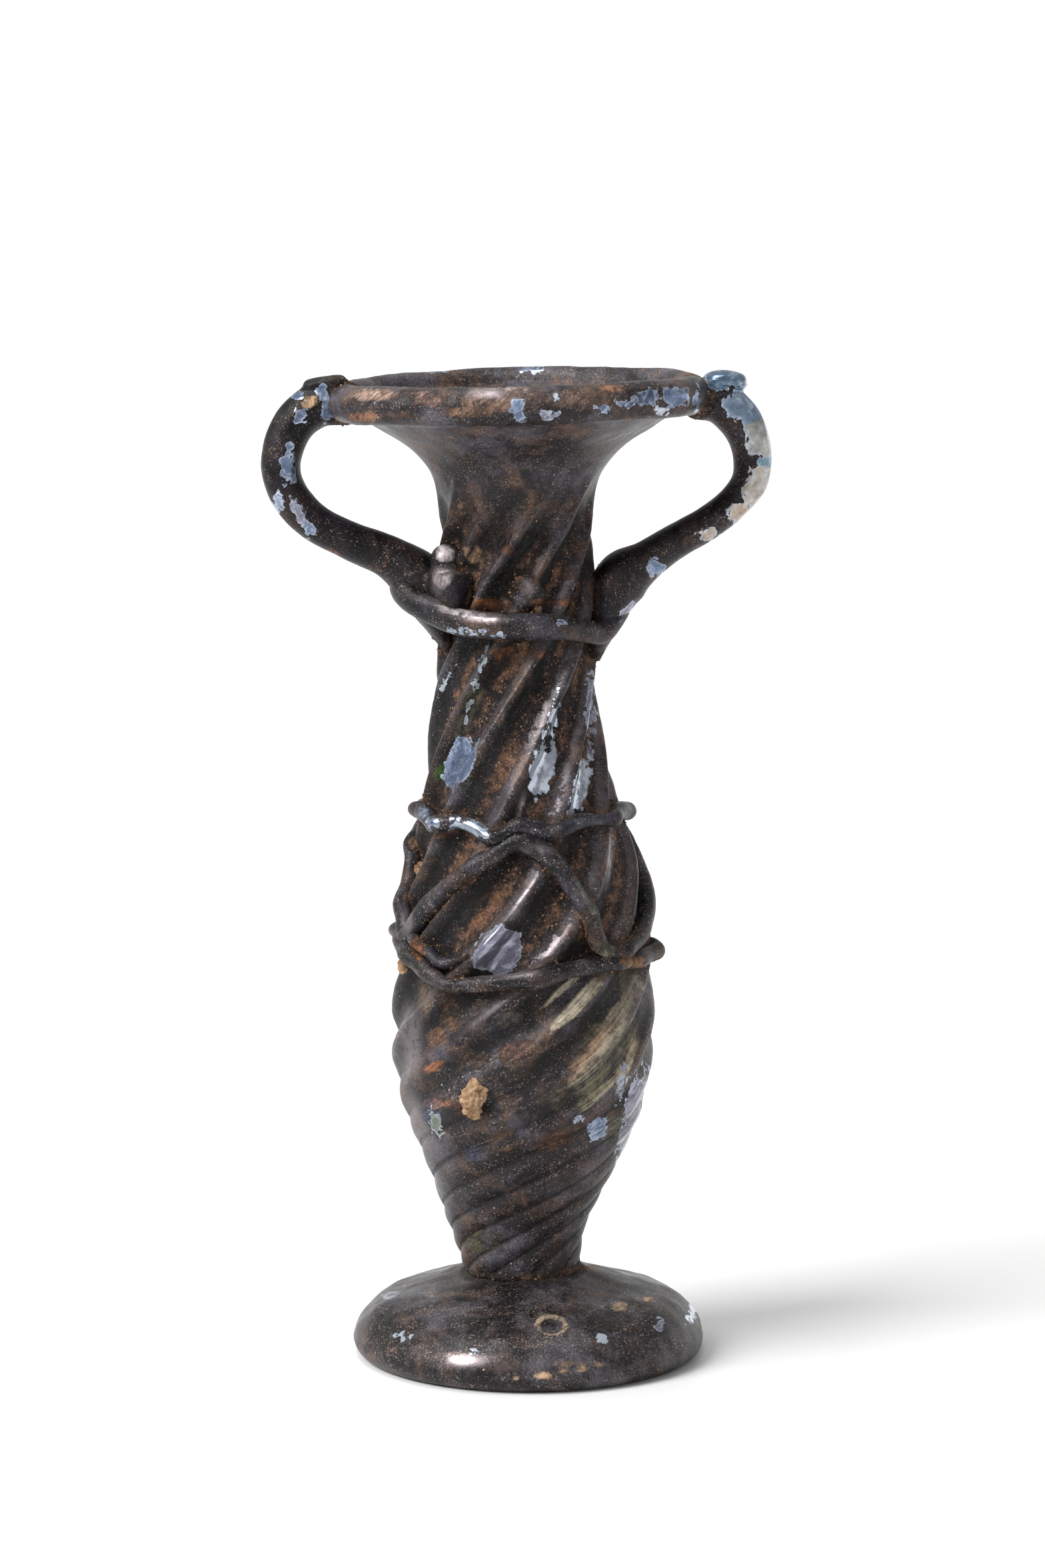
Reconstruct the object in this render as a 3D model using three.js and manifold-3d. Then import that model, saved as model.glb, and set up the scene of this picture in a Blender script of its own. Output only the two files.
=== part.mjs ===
// A two-handled glass balsamarium: a blown vessel with twisted ribs, standing on a pad foot, with two
// rod handles and four trails of glass wound round it.
// Millimetres, +Z up. The origin is the centre of the foot's flat underside, the front of the vessel
// faces -Y, and the handles reach out along -X (left) and +X (right).
// Every piece is a separate gather of glass. Where two were fused hot, they meet with JOINT_GAP between.
import * as THREE from "three";
import { mergeVertices } from "three/addons/utils/BufferGeometryUtils.js";
import Module from "manifold-3d";

const wasm = await Module();
wasm.setup();

// Fit between neighbouring gathers
const JOINT_GAP = 0.35;

// Pad foot
const FOOT_RADIUS = 27.1;
const FOOT_EDGE_RADIUS = 2.5;
const FOOT_HEIGHT = 12.6;
const FOOT_SEAT_RADIUS = 9.6;
const SCAR_RADIUS = 5.2;
const SCAR_WIDTH = 2.2;
const SCAR_DEPTH = 0.5;

// Vessel: radii are to the middle of the ribs, heights are above the table
const STEM_RADIUS = 8.8;
const BELLY_RADIUS = 19.6;
const BELLY_HEIGHT = 48;
const NECK_RADIUS = 10.9;
const NECK_HEIGHT = 120;
const RIM_RADIUS = 28.8;
const RIM_ROLL_RADIUS = 2.9;
const TOTAL_HEIGHT = 150;
const WALL = 2;
const FLOOR = 3;
const RIM_TILT = 0.026;

// Ribs: height from groove to crest
const RIB_COUNT = 10;
const RIB_HEIGHT = 1.35;
const RIB_SHARPNESS = 1.5;

// Handles; angles round the vessel are in degrees from the front towards +X
const ROD_THICKNESS = 6;
const ROD_DEPTH = 6.6;
const LEFT_REACH = 40.5;
const RIGHT_REACH = 36.8;
const HANDLE_TAIL_HEIGHT = 107.5;
const LEFT_PAD_RADIUS = 2.5;
const LEFT_PAD_HEIGHT = 118.7;
const LEFT_PAD_FRONT = -47;
const LEFT_PAD_BACK = -133;
const BOSS_RADIUS = 1.9;
const BOSS_ANGLE = -62;
const FOLD_THICKNESS = 3;
const TONGUE_THICKNESS = 2.4;

// Trails: their heights above the table, their widths, and how far they stand off the wall
const NECK_TRAIL_AT = 113.6;
const UPPER_TRAIL_AT = 83.4;
const LOWER_TRAIL_AT = 62.8;
const NECK_TRAIL_WIDTH = 3.5;
const UPPER_TRAIL_WIDTH = 2.3;
const ZIGZAG_TRAIL_WIDTH = 2.7;
const LOWER_TRAIL_WIDTH = 2.5;
const THREAD_END_WIDTH = 1.4;
const TRAIL_HEIGHT = 1.9;
const NECK_TRAIL_HEIGHT = 2.6;

// Facets
const SIDES_PER_RIB = 6;
const FAST_RING_STEP = 1.7;
const SLOW_RING_STEP = 3.4;
const FLARE_RINGS = 6;
const ROD_SIDES = 12;
const ROD_STEPS = 30;
const FOOT_SIDES = 56;
const PAD_STEPS = 14;
const PAD_SIDES = 10;
const LOBE_STEPS = 8;

const rad = THREE.MathUtils.degToRad;
const lerp = THREE.MathUtils.lerp;
const smoothstep = THREE.MathUtils.smoothstep;

// The vessel's wall as a function, which every other piece is seated on.

const STEM_HEIGHT = FOOT_HEIGHT + JOINT_GAP;
const ROLL_CENTRE_RADIUS = RIM_RADIUS - RIM_ROLL_RADIUS;
const ROLL_CENTRE_HEIGHT = TOTAL_HEIGHT - RIM_ROLL_RADIUS;

// The hand-blown vessel wanders off the foot's axis: [height as a share of the whole, shift along X]
const AXIS_WANDER = [
  [0.08, -0.8], [0.135, -1.8], [0.2, -1.0], [0.34, -0.95], [0.5, -0.5],
  [0.59, -1.5], [0.67, -2.1], [0.75, -1.7], [0.84, -1.95], [1, -1.45],
].map(([share, shift]) => [share * TOTAL_HEIGHT, shift]);

// Outline of the wall, as shares of the way between the stem, the belly, the neck and the rim's roll
const SWELL = [[0, 0], [0.17, 0.12], [0.35, 0.34], [0.55, 0.63], [0.75, 0.88], [1, 1]];
const TAPER = [
  [0.14, 0.06], [0.28, 0.19], [0.39, 0.34], [0.5, 0.57], [0.61, 0.74], [0.72, 0.885], [0.86, 0.98], [1, 1],
];
const FLARE = [[0.28, 0.0], [0.48, 0.05], [0.64, 0.17], [0.77, 0.38], [0.89, 0.73], [0.97, 1]];

function wallOutline() {
  const swell = SWELL.map(([h, r]) => [
    lerp(STEM_HEIGHT, BELLY_HEIGHT, h),
    lerp(STEM_RADIUS, BELLY_RADIUS, r),
  ]);
  const taper = TAPER.map(([h, r]) => [
    lerp(BELLY_HEIGHT, NECK_HEIGHT, h),
    lerp(BELLY_RADIUS, NECK_RADIUS, r),
  ]);
  const flare = FLARE.map(([h, r]) => [
    lerp(NECK_HEIGHT, ROLL_CENTRE_HEIGHT - RIM_ROLL_RADIUS / 2, h),
    lerp(NECK_RADIUS, ROLL_CENTRE_RADIUS - RIM_ROLL_RADIUS / 2, r),
  ]);
  const stations = [...swell, ...taper, ...flare].map(([h, r]) => new THREE.Vector3(r, 0, h));
  return new THREE.CatmullRomCurve3(stations, false, "centripetal").getPoints(400);
}
const OUTLINE = wallOutline();
const FLARE_TOP = OUTLINE.at(-1);

// The value at x of a list of [x, value] pairs in rising order
function valueAt(pairs, x) {
  const next = pairs.findIndex(([place]) => place >= x);
  if (next === 0) return pairs[0][1];
  if (next < 0) return pairs.at(-1)[1];
  const [[x0, v0], [x1, v1]] = [pairs[next - 1], pairs[next]];
  return lerp(v0, v1, (x - x0) / (x1 - x0));
}
const OUTLINE_PAIRS = OUTLINE.map((p) => [p.z, p.x]);
const WANDER_PAIRS = new THREE.CatmullRomCurve3(
  AXIS_WANDER.map(([h, shift]) => new THREE.Vector3(shift, 0, h)),
)
  .getPoints(100)
  .map((p) => [p.z, p.x]);

// The twist of the ribs, tight near the foot where the glass was turned last: [share of the way up
// from the stem to the rim, degrees turned]
const TWIST = [
  [0, -381], [0.089, -264], [0.154, -197], [0.213, -143], [0.321, -82],
  [0.47, -27], [0.566, 0], [0.77, 80], [0.89, 134], [1, 165],
];
const TWIST_PAIRS = new THREE.CatmullRomCurve3(
  TWIST.map(([share, turn]) => new THREE.Vector3(turn, 0, lerp(STEM_HEIGHT, TOTAL_HEIGHT, share))),
)
  .getPoints(200)
  .map((p) => [p.z, p.x]);
const twist = (height) => rad(valueAt(TWIST_PAIRS, height));

// The ribs fade out into the flare of the mouth and where the wall meets the foot
function ribStrength(height) {
  const [last, gone] = [0.3, 0.7].map((share) => lerp(NECK_HEIGHT, TOTAL_HEIGHT, share));
  const foot = lerp(0.35, 1, smoothstep(height, STEM_HEIGHT, STEM_HEIGHT + STEM_RADIUS));
  return foot * (1 - smoothstep(height, last, gone));
}
function ribAt(angle, height) {
  const crest = (1 + Math.cos(RIB_COUNT * (angle - twist(height)))) / 2;
  return RIB_HEIGHT * ribStrength(height) * (crest ** RIB_SHARPNESS - 0.5);
}
const wallRadius = (angle, height) => valueAt(OUTLINE_PAIRS, height) + ribAt(angle, height);

// The outline's direction at a height, as a unit vector in radius and height
function wallDirection(height) {
  const span = 0.4;
  const change = valueAt(OUTLINE_PAIRS, height + span) - valueAt(OUTLINE_PAIRS, height - span);
  return new THREE.Vector3(change, 0, 2 * span).normalize();
}

// A point at a radius, an angle from the front towards +X, and a height, on the vessel's wandering
// axis, with the mouth tilted a little
function place(radius, angle, height) {
  const x = radius * Math.sin(angle);
  const tilt = RIM_TILT * x * smoothstep(height, NECK_HEIGHT, TOTAL_HEIGHT);
  return new THREE.Vector3(x + valueAt(WANDER_PAIRS, height), -radius * Math.cos(angle), height + tilt);
}

// Solids from rings of points.

function solidFromRings(rings, isLoop = false) {
  const sides = rings[0].length;
  const points = rings.flat();
  const index = [];
  const at = (ring, side) => (ring % rings.length) * sides + (side % sides);
  const bands = isLoop ? rings.length : rings.length - 1;
  for (let ring = 0; ring < bands; ring++) {
    for (let side = 0; side < sides; side++) {
      const [a, b] = [at(ring, side), at(ring, side + 1)];
      const [c, d] = [at(ring + 1, side + 1), at(ring + 1, side)];
      index.push(a, b, c, a, c, d);
    }
  }
  if (!isLoop) {
    const middle = (ring) => ring.reduce((sum, p) => sum.add(p), new THREE.Vector3()).divideScalar(sides);
    const [first, last] = [points.length, points.length + 1];
    points.push(middle(rings[0]), middle(rings.at(-1)));
    for (let side = 0; side < sides; side++) {
      index.push(first, at(0, side + 1), at(0, side));
      index.push(last, at(rings.length - 1, side), at(rings.length - 1, side + 1));
    }
  }
  const geometry = new THREE.BufferGeometry().setFromPoints(points).setIndex(index);
  return facingOut(geometry);
}

// Turns the faces round if they point into the solid
function facingOut(geometry) {
  const p = geometry.getAttribute("position");
  const index = geometry.getIndex().array;
  const [a, b, c] = [new THREE.Vector3(), new THREE.Vector3(), new THREE.Vector3()];
  let volume = 0;
  for (let i = 0; i < index.length; i += 3) {
    a.fromBufferAttribute(p, index[i]);
    b.fromBufferAttribute(p, index[i + 1]);
    c.fromBufferAttribute(p, index[i + 2]);
    volume += a.dot(b.cross(c));
  }
  if (volume < 0) {
    for (let i = 0; i < index.length; i += 3) [index[i], index[i + 1]] = [index[i + 1], index[i]];
  }
  return geometry;
}

function toSolid(geometry) {
  const bare = geometry.clone();
  bare.deleteAttribute("normal");
  bare.deleteAttribute("uv");
  const merged = mergeVertices(bare, 1e-4);
  return new wasm.Manifold(
    new wasm.Mesh({
      numProp: 3,
      vertProperties: merged.getAttribute("position").array,
      triVerts: new Uint32Array(merged.getIndex().array),
    }),
  );
}

function toGeometry(solid) {
  const { vertProperties, triVerts } = solid.getMesh();
  return new THREE.BufferGeometry()
    .setAttribute("position", new THREE.BufferAttribute(vertProperties, 3))
    .setIndex(new THREE.BufferAttribute(triVerts, 1));
}

// Pad foot.

function footGeometry() {
  const flatRadius = FOOT_RADIUS - FOOT_EDGE_RADIUS;
  const scar = [
    [SCAR_RADIUS - SCAR_WIDTH / 2, 0],
    [SCAR_RADIUS, SCAR_DEPTH],
    [SCAR_RADIUS + SCAR_WIDTH / 2, 0],
  ];
  const edge = [-90, -60, -30, 0].map((turn) => [
    flatRadius + FOOT_EDGE_RADIUS * Math.cos(rad(turn)),
    FOOT_EDGE_RADIUS + FOOT_EDGE_RADIUS * Math.sin(rad(turn)),
  ]);
  // The top rises from the rolled edge to the seat: shares of the way in and of the way up
  const dome = [
    [0.03, 0.19], [0.1, 0.37], [0.2, 0.54], [0.38, 0.68], [0.65, 0.82], [0.9, 0.95], [1, 1],
  ].map(([inward, up]) => [
    lerp(FOOT_RADIUS, FOOT_SEAT_RADIUS, inward),
    lerp(FOOT_EDGE_RADIUS, FOOT_HEIGHT, up),
  ]);
  const outline = [...scar, ...edge, ...dome].map(([r, h]) => new THREE.Vector2(r, h));
  const closed = [new THREE.Vector2(0, 0), ...outline, new THREE.Vector2(0, FOOT_HEIGHT)];
  return new THREE.LatheGeometry(closed, FOOT_SIDES).rotateX(Math.PI / 2);
}

// Vessel.

// Ring heights up the wall: close together where the ribs turn fast, and at the flare of the mouth
function ringHeights() {
  const heights = [STEM_HEIGHT];
  const flareStart = lerp(NECK_HEIGHT, TOTAL_HEIGHT, 0.5);
  for (let h = STEM_HEIGHT + FAST_RING_STEP; h < BELLY_HEIGHT; h += FAST_RING_STEP) heights.push(h);
  for (let h = BELLY_HEIGHT; h < flareStart; h += SLOW_RING_STEP) heights.push(h);
  for (let step = 0; step < FLARE_RINGS; step++) {
    heights.push(lerp(flareStart, FLARE_TOP.z, step / (FLARE_RINGS - 1)));
  }
  return heights;
}

// Rings up the outside of the wall and over the rolled rim, as far as rollEnd degrees round the roll
function outerRings(growth = 0, rollEnd = 165) {
  const sides = RIB_COUNT * SIDES_PER_RIB;
  const turns = Array.from({ length: sides }, (_, i) => (i / sides) * 2 * Math.PI);
  const rings = ringHeights().map((height) => {
    const along = wallDirection(height);
    const rise = height === STEM_HEIGHT ? -growth : -along.x * growth;
    return turns.map((turn) => {
      const angle = turn + twist(height);
      return place(wallRadius(angle, height) + along.z * growth, angle, height + rise);
    });
  });
  const roll = RIM_ROLL_RADIUS + growth;
  for (let turn = -75; turn <= rollEnd; turn += 30) {
    rings.push(plainRing(
      ROLL_CENTRE_RADIUS + roll * Math.cos(rad(turn)),
      ROLL_CENTRE_HEIGHT + roll * Math.sin(rad(turn)),
    ));
  }
  return rings;
}

function plainRing(radius, height) {
  const sides = RIB_COUNT * SIDES_PER_RIB;
  const start = twist(FLARE_TOP.z);
  return Array.from({ length: sides }, (_, i) => place(radius, start + (i / sides) * 2 * Math.PI, height));
}

// The smooth inside of the wall from the mouth down to the floor: the outline moved inwards
function innerRings() {
  const thickness = WALL + RIB_HEIGHT / 2;
  const floor = STEM_HEIGHT + FLOOR;
  const inside = [];
  let next = FLARE_TOP.z - 1;
  for (const point of OUTLINE.toReversed()) {
    const along = wallDirection(point.z);
    const radius = point.x - along.z * thickness;
    const height = point.z + along.x * thickness;
    if (height > next || height < floor + 2) continue;
    inside.push([radius, height]);
    next = height - (height > NECK_HEIGHT + 8 ? FAST_RING_STEP : 2 * SLOW_RING_STEP);
  }
  const [lowestRadius] = inside.at(-1);
  inside.push([lowestRadius * 0.8, floor + 0.6], [lowestRadius * 0.5, floor]);
  return inside.map(([radius, height]) => plainRing(radius, height));
}

// Handles.

// A rod's centreline from the rim down to its tail on the neck. Each row is [share of the way out
// from the neck to the reach, share of the way up from the tail to the rim's top, thickness, depth],
// the last two as shares of the rod's.
const LEFT_ROD = [
  [0.594, 0.915, 1.12, 1.1], [0.755, 0.911, 1.13, 1.1], [0.896, 0.856, 1.08, 1.08],
  [0.985, 0.755, 1.02, 1.03], [0.996, 0.664, 0.98, 1.0], [0.924, 0.567, 0.98, 1.0],
  [0.783, 0.487, 0.95, 1.0], [0.578, 0.426, 0.97, 1.0], [0.333, 0.365, 1.1, 1.15],
  [0.153, 0.282, 1.4, 1.6], [0.052, 0.167, 1.0, 1.7], [-0.016, 0.054, 0.4, 0.9],
];
const RIGHT_ROD = [
  [0.663, 0.929, 1.05, 1.05], [0.789, 0.92, 1.08, 1.08], [0.905, 0.866, 1.1, 1.08],
  [0.976, 0.795, 1.03, 1.03], [1.0, 0.718, 0.97, 1.0], [0.98, 0.635, 0.92, 1.0],
  [0.88, 0.56, 0.85, 1.0], [0.728, 0.489, 0.86, 1.0], [0.537, 0.426, 0.89, 1.05],
  [0.37, 0.362, 1.0, 1.15], [0.2, 0.285, 1.4, 1.45], [0.11, 0.162, 0.95, 1.4], [0.035, 0.012, 0.35, 0.8],
];
const LEFT = { sign: -1, reach: LEFT_REACH, rod: LEFT_ROD };
const RIGHT = { sign: 1, reach: RIGHT_REACH, rod: RIGHT_ROD };

// Ring of an oval section across a path in the XZ plane
function ovalRing(centre, along, halfThickness, halfDepth, sides = ROD_SIDES) {
  const across = new THREE.Vector3(along.z, 0, -along.x);
  return Array.from({ length: sides }, (_, i) => {
    const turn = ((i + 0.5) / sides) * 2 * Math.PI;
    return centre
      .clone()
      .addScaledVector(across, halfThickness * Math.cos(turn))
      .add(new THREE.Vector3(0, halfDepth * Math.sin(turn), 0));
  });
}

// The rod as samples of { centre, along, halfThickness, halfDepth }
function rodSamples({ sign, reach, rod }, steps = ROD_STEPS) {
  const neckX = NECK_RADIUS + sign * valueAt(WANDER_PAIRS, NECK_HEIGHT);
  const outX = reach - ROD_THICKNESS / 2;
  const centres = rod.map(([out, up]) => new THREE.Vector3(
    sign * lerp(neckX, outX, out), 0, lerp(HANDLE_TAIL_HEIGHT, TOTAL_HEIGHT, up),
  ));
  const sizes = rod.map((row) => new THREE.Vector3(
    (row[2] * ROD_THICKNESS) / 2, (row[3] * ROD_DEPTH) / 2, 0,
  ));
  const path = new THREE.CatmullRomCurve3(centres, false, "centripetal");
  const size = new THREE.CatmullRomCurve3(sizes, false, "centripetal");
  return Array.from({ length: steps + 1 }, (_, i) => {
    const share = i / steps;
    const { x, y } = size.getPoint(share);
    return { centre: path.getPoint(share), along: path.getTangent(share), halfThickness: x, halfDepth: y };
  });
}

function rodSolid(handle) {
  const samples = rodSamples(handle);
  const rings = samples.map((s) => ovalRing(s.centre, s.along, s.halfThickness, s.halfDepth));
  const [first, last] = [samples[0], samples.at(-1)];
  const blunt = (s, way) => ovalRing(
    s.centre.clone().addScaledVector(s.along, way * s.halfThickness * 0.6),
    s.along, s.halfThickness * 0.55, s.halfDepth * 0.6,
  );
  return toSolid(solidFromRings([blunt(first, -1), ...rings, blunt(last, 1)]));
}

// A sausage of glass hugging the neck, from the front round to the back of the left handle's root
function leftPad() {
  const rings = [];
  for (let i = 0; i <= PAD_STEPS; i++) {
    const share = i / PAD_STEPS;
    const angle = rad(lerp(LEFT_PAD_FRONT, LEFT_PAD_BACK, share));
    const rounding = Math.sqrt(Math.max(0.12, 1 - (2 * share - 1) ** 8));
    const radius = wallRadius(angle, LEFT_PAD_HEIGHT) + LEFT_PAD_RADIUS * 0.36;
    const centre = place(radius, angle, LEFT_PAD_HEIGHT);
    const outward = new THREE.Vector3(Math.sin(angle), -Math.cos(angle), 0);
    rings.push(Array.from({ length: PAD_SIDES }, (_, side) => {
      const turn = (side / PAD_SIDES) * 2 * Math.PI;
      return centre
        .clone()
        .addScaledVector(outward, LEFT_PAD_RADIUS * rounding * Math.cos(turn))
        .add(new THREE.Vector3(0, 0, LEFT_PAD_RADIUS * rounding * Math.sin(turn)));
    }));
  }
  return toSolid(solidFromRings(rings));
}

// The small knob left where the left rod was let down on the pad
function leftBoss() {
  const angle = rad(BOSS_ANGLE);
  const height = LEFT_PAD_HEIGHT + LEFT_PAD_RADIUS + BOSS_RADIUS * 0.75;
  const centre = place(wallRadius(angle, height) + BOSS_RADIUS * 0.35, angle, height);
  const ball = new THREE.SphereGeometry(BOSS_RADIUS, PAD_SIDES, PAD_SIDES - 2);
  return toSolid(ball.translate(...centre));
}

// A flattened lobe of glass along places in the XZ plane, as wide as a rod and rounded at both ends
function lobe(places, thickness, depth) {
  const path = new THREE.CatmullRomCurve3(places.map(([x, z]) => new THREE.Vector3(x, 0, z)));
  const rings = Array.from({ length: LOBE_STEPS + 1 }, (_, i) => {
    const share = i / LOBE_STEPS;
    const rounding = Math.sqrt(Math.max(0.15, 1 - (2 * share - 1) ** 6));
    return ovalRing(
      path.getPoint(share), path.getTangent(share), (thickness / 2) * rounding, (depth / 2) * rounding,
    );
  });
  return toSolid(solidFromRings(rings));
}

// The height of the rim's top out along X, with its tilt
const rimTopAt = (x) => TOTAL_HEIGHT + RIM_TILT * x;

// The end of the right rod, folded back outwards over itself beside the rim
function rightFold() {
  const inner = RIM_RADIUS + valueAt(WANDER_PAIRS, TOTAL_HEIGHT) - RIM_ROLL_RADIUS * 0.4;
  const outer = RIGHT_REACH - ROD_THICKNESS * 0.66;
  const middle = lerp(inner, outer, 0.5);
  const top = rimTopAt(outer) - FOLD_THICKNESS / 2;
  return lobe([[inner, top - 0.1], [middle, top + 0.6], [outer, top - 0.2]], FOLD_THICKNESS, ROD_DEPTH);
}

// The thin tongue in which the left rod ends, over the top of the rim's roll
function leftTongue() {
  const overRoll = -ROLL_CENTRE_RADIUS + valueAt(WANDER_PAIRS, TOTAL_HEIGHT);
  const outer = -lerp(ROLL_CENTRE_RADIUS, LEFT_REACH, 0.56);
  const top = rimTopAt(overRoll);
  return lobe(
    [[overRoll, top + 0.5], [lerp(overRoll, outer, 0.5), top], [outer, top - 0.6]],
    TONGUE_THICKNESS, ROD_DEPTH * 0.8,
  );
}

// Trails.

// Each trail's path is a list of [angle in degrees from the front, height], once round the vessel
const ringPath = (height, rises) => rises.map(([angle, rise]) => [angle, height + rise]);
const UPPER_PATH = ringPath(UPPER_TRAIL_AT, [
  [-90, 1.2], [-73, 1.1], [-55, -0.1], [-39, 0.8], [-26, 0], [-15, -1.2], [-2, 0.5], [15, -0.4],
  [36, 0.9], [55, 0.6], [74, 1.3], [92, 0.6], [120, -0.4], [150, 1.1], [180, 0.1], [210, -0.6], [240, 0.6],
]);
const LOWER_PATH = ringPath(LOWER_TRAIL_AT, [
  [-90, 2.8], [-62, 0.6], [-36, -2.4], [-7, -1.6], [29, 0.2], [60, 0], [90, 0.3], [120, -0.8],
  [150, -1.8], [180, -0.3], [210, 1.2], [240, 2.2],
]);
const NECK_PATH = ringPath(NECK_TRAIL_AT, [
  [-90, 4.8], [-68, 2.9], [-52, 1.1], [-38, 0.4], [0, 0.1], [32, -0.2], [52, -1.0], [70, -1.5], [90, 1.8],
  [110, -1.4], [150, -0.4], [180, 0.4], [215, 0.2], [248, 1.2],
]);

// The zigzag runs from foot to peak to foot, between the two rings and touching both. A foot is
// [angle, how late the leg that leaves it rises].
const ZIGZAG_FEET = [[-72, 1], [39, 2.4], [165, 1.3]];
const ZIGZAG_PEAKS = [-2, 118, 245];
const ZIGZAG_FALL = 1.9;
const ZIGZAG_PEAK_ROUNDING = 1.3;
const ZIGZAG_PEAK_RISE = -2.7;
const ZIGZAG_FOOT_RISE = 2.2;
// The end of the zigzag's thread trails off beside the lower ring: [angle, rise above the ring]
const THREAD_END = [[-70, 3.2], [-61, 2.7], [-50, 2.5], [-41, 2.5], [-33, 3.3], [-26, 4.2]];

// The height of a ring trail at an angle
function heightOn(path) {
  const [first, last] = [path[0], path.at(-1)];
  const padded = [[last[0] - 360, last[1]], ...path, [first[0] + 360, first[1]]];
  return (angle) => {
    const turned = THREE.MathUtils.euclideanModulo(angle - first[0], 360) + first[0];
    const next = padded.findIndex(([place]) => place > turned);
    const [[a0, h0], [a1, h1]] = [padded[next - 1], padded[next]];
    return lerp(h0, h1, smoothstep(turned, a0, a1));
  };
}
const upperHeight = heightOn(UPPER_PATH);
const lowerHeight = heightOn(LOWER_PATH);

function zigzagPath() {
  const places = [];
  const footHeight = (angle) => lowerHeight(angle) + ZIGZAG_FOOT_RISE;
  ZIGZAG_FEET.forEach(([foot, lateness], i) => {
    const peak = ZIGZAG_PEAKS[i];
    const [firstFoot] = ZIGZAG_FEET[0];
    const [nextFoot] = ZIGZAG_FEET[i + 1] ?? [firstFoot + 360];
    const peakHeight = upperHeight(peak) + ZIGZAG_PEAK_RISE;
    for (const along of [0, 0.25, 0.5, 0.75]) {
      const risen = 1 - (1 - along ** lateness) ** ZIGZAG_PEAK_ROUNDING;
      places.push([lerp(foot, peak, along), lerp(footHeight(foot), peakHeight, risen)]);
    }
    for (const along of [0, 0.25, 0.5, 0.75]) {
      const height = lerp(peakHeight, footHeight(nextFoot), along ** ZIGZAG_FALL);
      places.push([lerp(peak, nextFoot, along), height]);
    }
  });
  return places;
}

// Points at even distances along a line of points
function evenlySpaced(points, count) {
  const lengths = [0];
  for (let i = 1; i < points.length; i++) {
    lengths.push(lengths[i - 1] + points[i].distanceTo(points[i - 1]));
  }
  const pairs = lengths.map((length, i) => [length, i]);
  return Array.from({ length: count }, (_, step) => {
    const at = valueAt(pairs, (step / (count - 1)) * lengths.at(-1));
    const i = Math.min(Math.floor(at), points.length - 2);
    return points[i].clone().lerp(points[i + 1], at - i);
  });
}

// A path's places, spaced evenly on the wall unrolled flat: x round it, y up it
function pathOnWall(path, steps, isLoop) {
  const flat = path.map(([angle, height]) => new THREE.Vector3(rad(angle) * BELLY_RADIUS, height, 0));
  const perSpan = 24;
  if (!isLoop) {
    const open = new THREE.CatmullRomCurve3(flat, false, "centripetal");
    return evenlySpaced(open.getPoints(perSpan * (flat.length - 1)), steps + 1);
  }
  const shifted = (p, turns) => new THREE.Vector3(p.x + turns * 2 * Math.PI * BELLY_RADIUS, p.y, 0);
  const before = flat.slice(-3).map((p) => shifted(p, -1));
  const after = flat.slice(0, 4).map((p) => shifted(p, 1));
  const curve = new THREE.CatmullRomCurve3([...before, ...flat, ...after], false, "centripetal");
  const spans = before.length + flat.length + after.length - 1;
  const start = before.length * perSpan;
  const once = curve.getPoints(perSpan * spans).slice(start, start + flat.length * perSpan + 1);
  return evenlySpaced(once, steps + 1).slice(0, -1);
}

// A thread lies on the ribs' crests and sags a little way into the grooves between them
const wallSeat = (angle, height) =>
  Math.max(wallRadius(angle, height), valueAt(OUTLINE_PAIRS, height) - 0.1 * RIB_HEIGHT);

// A thread laid along a path. swell gives, at an angle in degrees, the share of its size there.
function thread(path, width, thickness, steps, options = {}) {
  const { growth = 0, isLoop = true, seat = wallSeat, swell = () => 1 } = options;
  const seats = pathOnWall(path, steps, isLoop).map(({ x, y: height }) => {
    const angle = x / BELLY_RADIUS;
    const degrees = THREE.MathUtils.radToDeg(angle);
    return { angle, height, degrees, point: place(seat(angle, height), angle, height) };
  });
  const neighbour = (i) => seats.at(isLoop ? i % seats.length : THREE.MathUtils.clamp(i, 0, steps));
  const rings = seats.map(({ angle, height, degrees, point }, i) => {
    const lean = seat === wallSeat ? wallDirection(height).x : 0;
    const out = new THREE.Vector3(Math.sin(angle), -Math.cos(angle), -lean).normalize();
    const along = neighbour(i + 1).point.clone().sub(neighbour(i - 1).point);
    along.addScaledVector(out, -along.dot(out)).normalize();
    const across = new THREE.Vector3().crossVectors(out, along);
    const half = (width / 2) * swell(degrees) + growth;
    const high = thickness * Math.sqrt(swell(degrees)) + 2 * growth;
    const base = point.clone().addScaledVector(out, JOINT_GAP - growth);
    return THREAD_SECTION.map(([sideways, up]) =>
      base.clone().addScaledVector(across, sideways * half).addScaledVector(out, up * high));
  });
  return solidFromRings(rings, isLoop);
}
// A round thread flattened where it lies on the wall: [share of half its width, share of its height]
const THREAD_SECTION = [[-0.55, 0], [-1, 0.38], [-0.72, 0.86], [0, 1], [0.72, 0.86], [1, 0.38], [0.55, 0]];

// 1 at any of the angles, in degrees, falling smoothly to 0 at halfWidth away
function nearAny(angles, halfWidth) {
  return (degrees) => {
    const away = angles.map((a) => Math.abs(THREE.MathUtils.euclideanModulo(degrees - a + 180, 360) - 180));
    return 1 - smoothstep(Math.min(...away), halfWidth * 0.45, halfWidth);
  };
}

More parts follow.
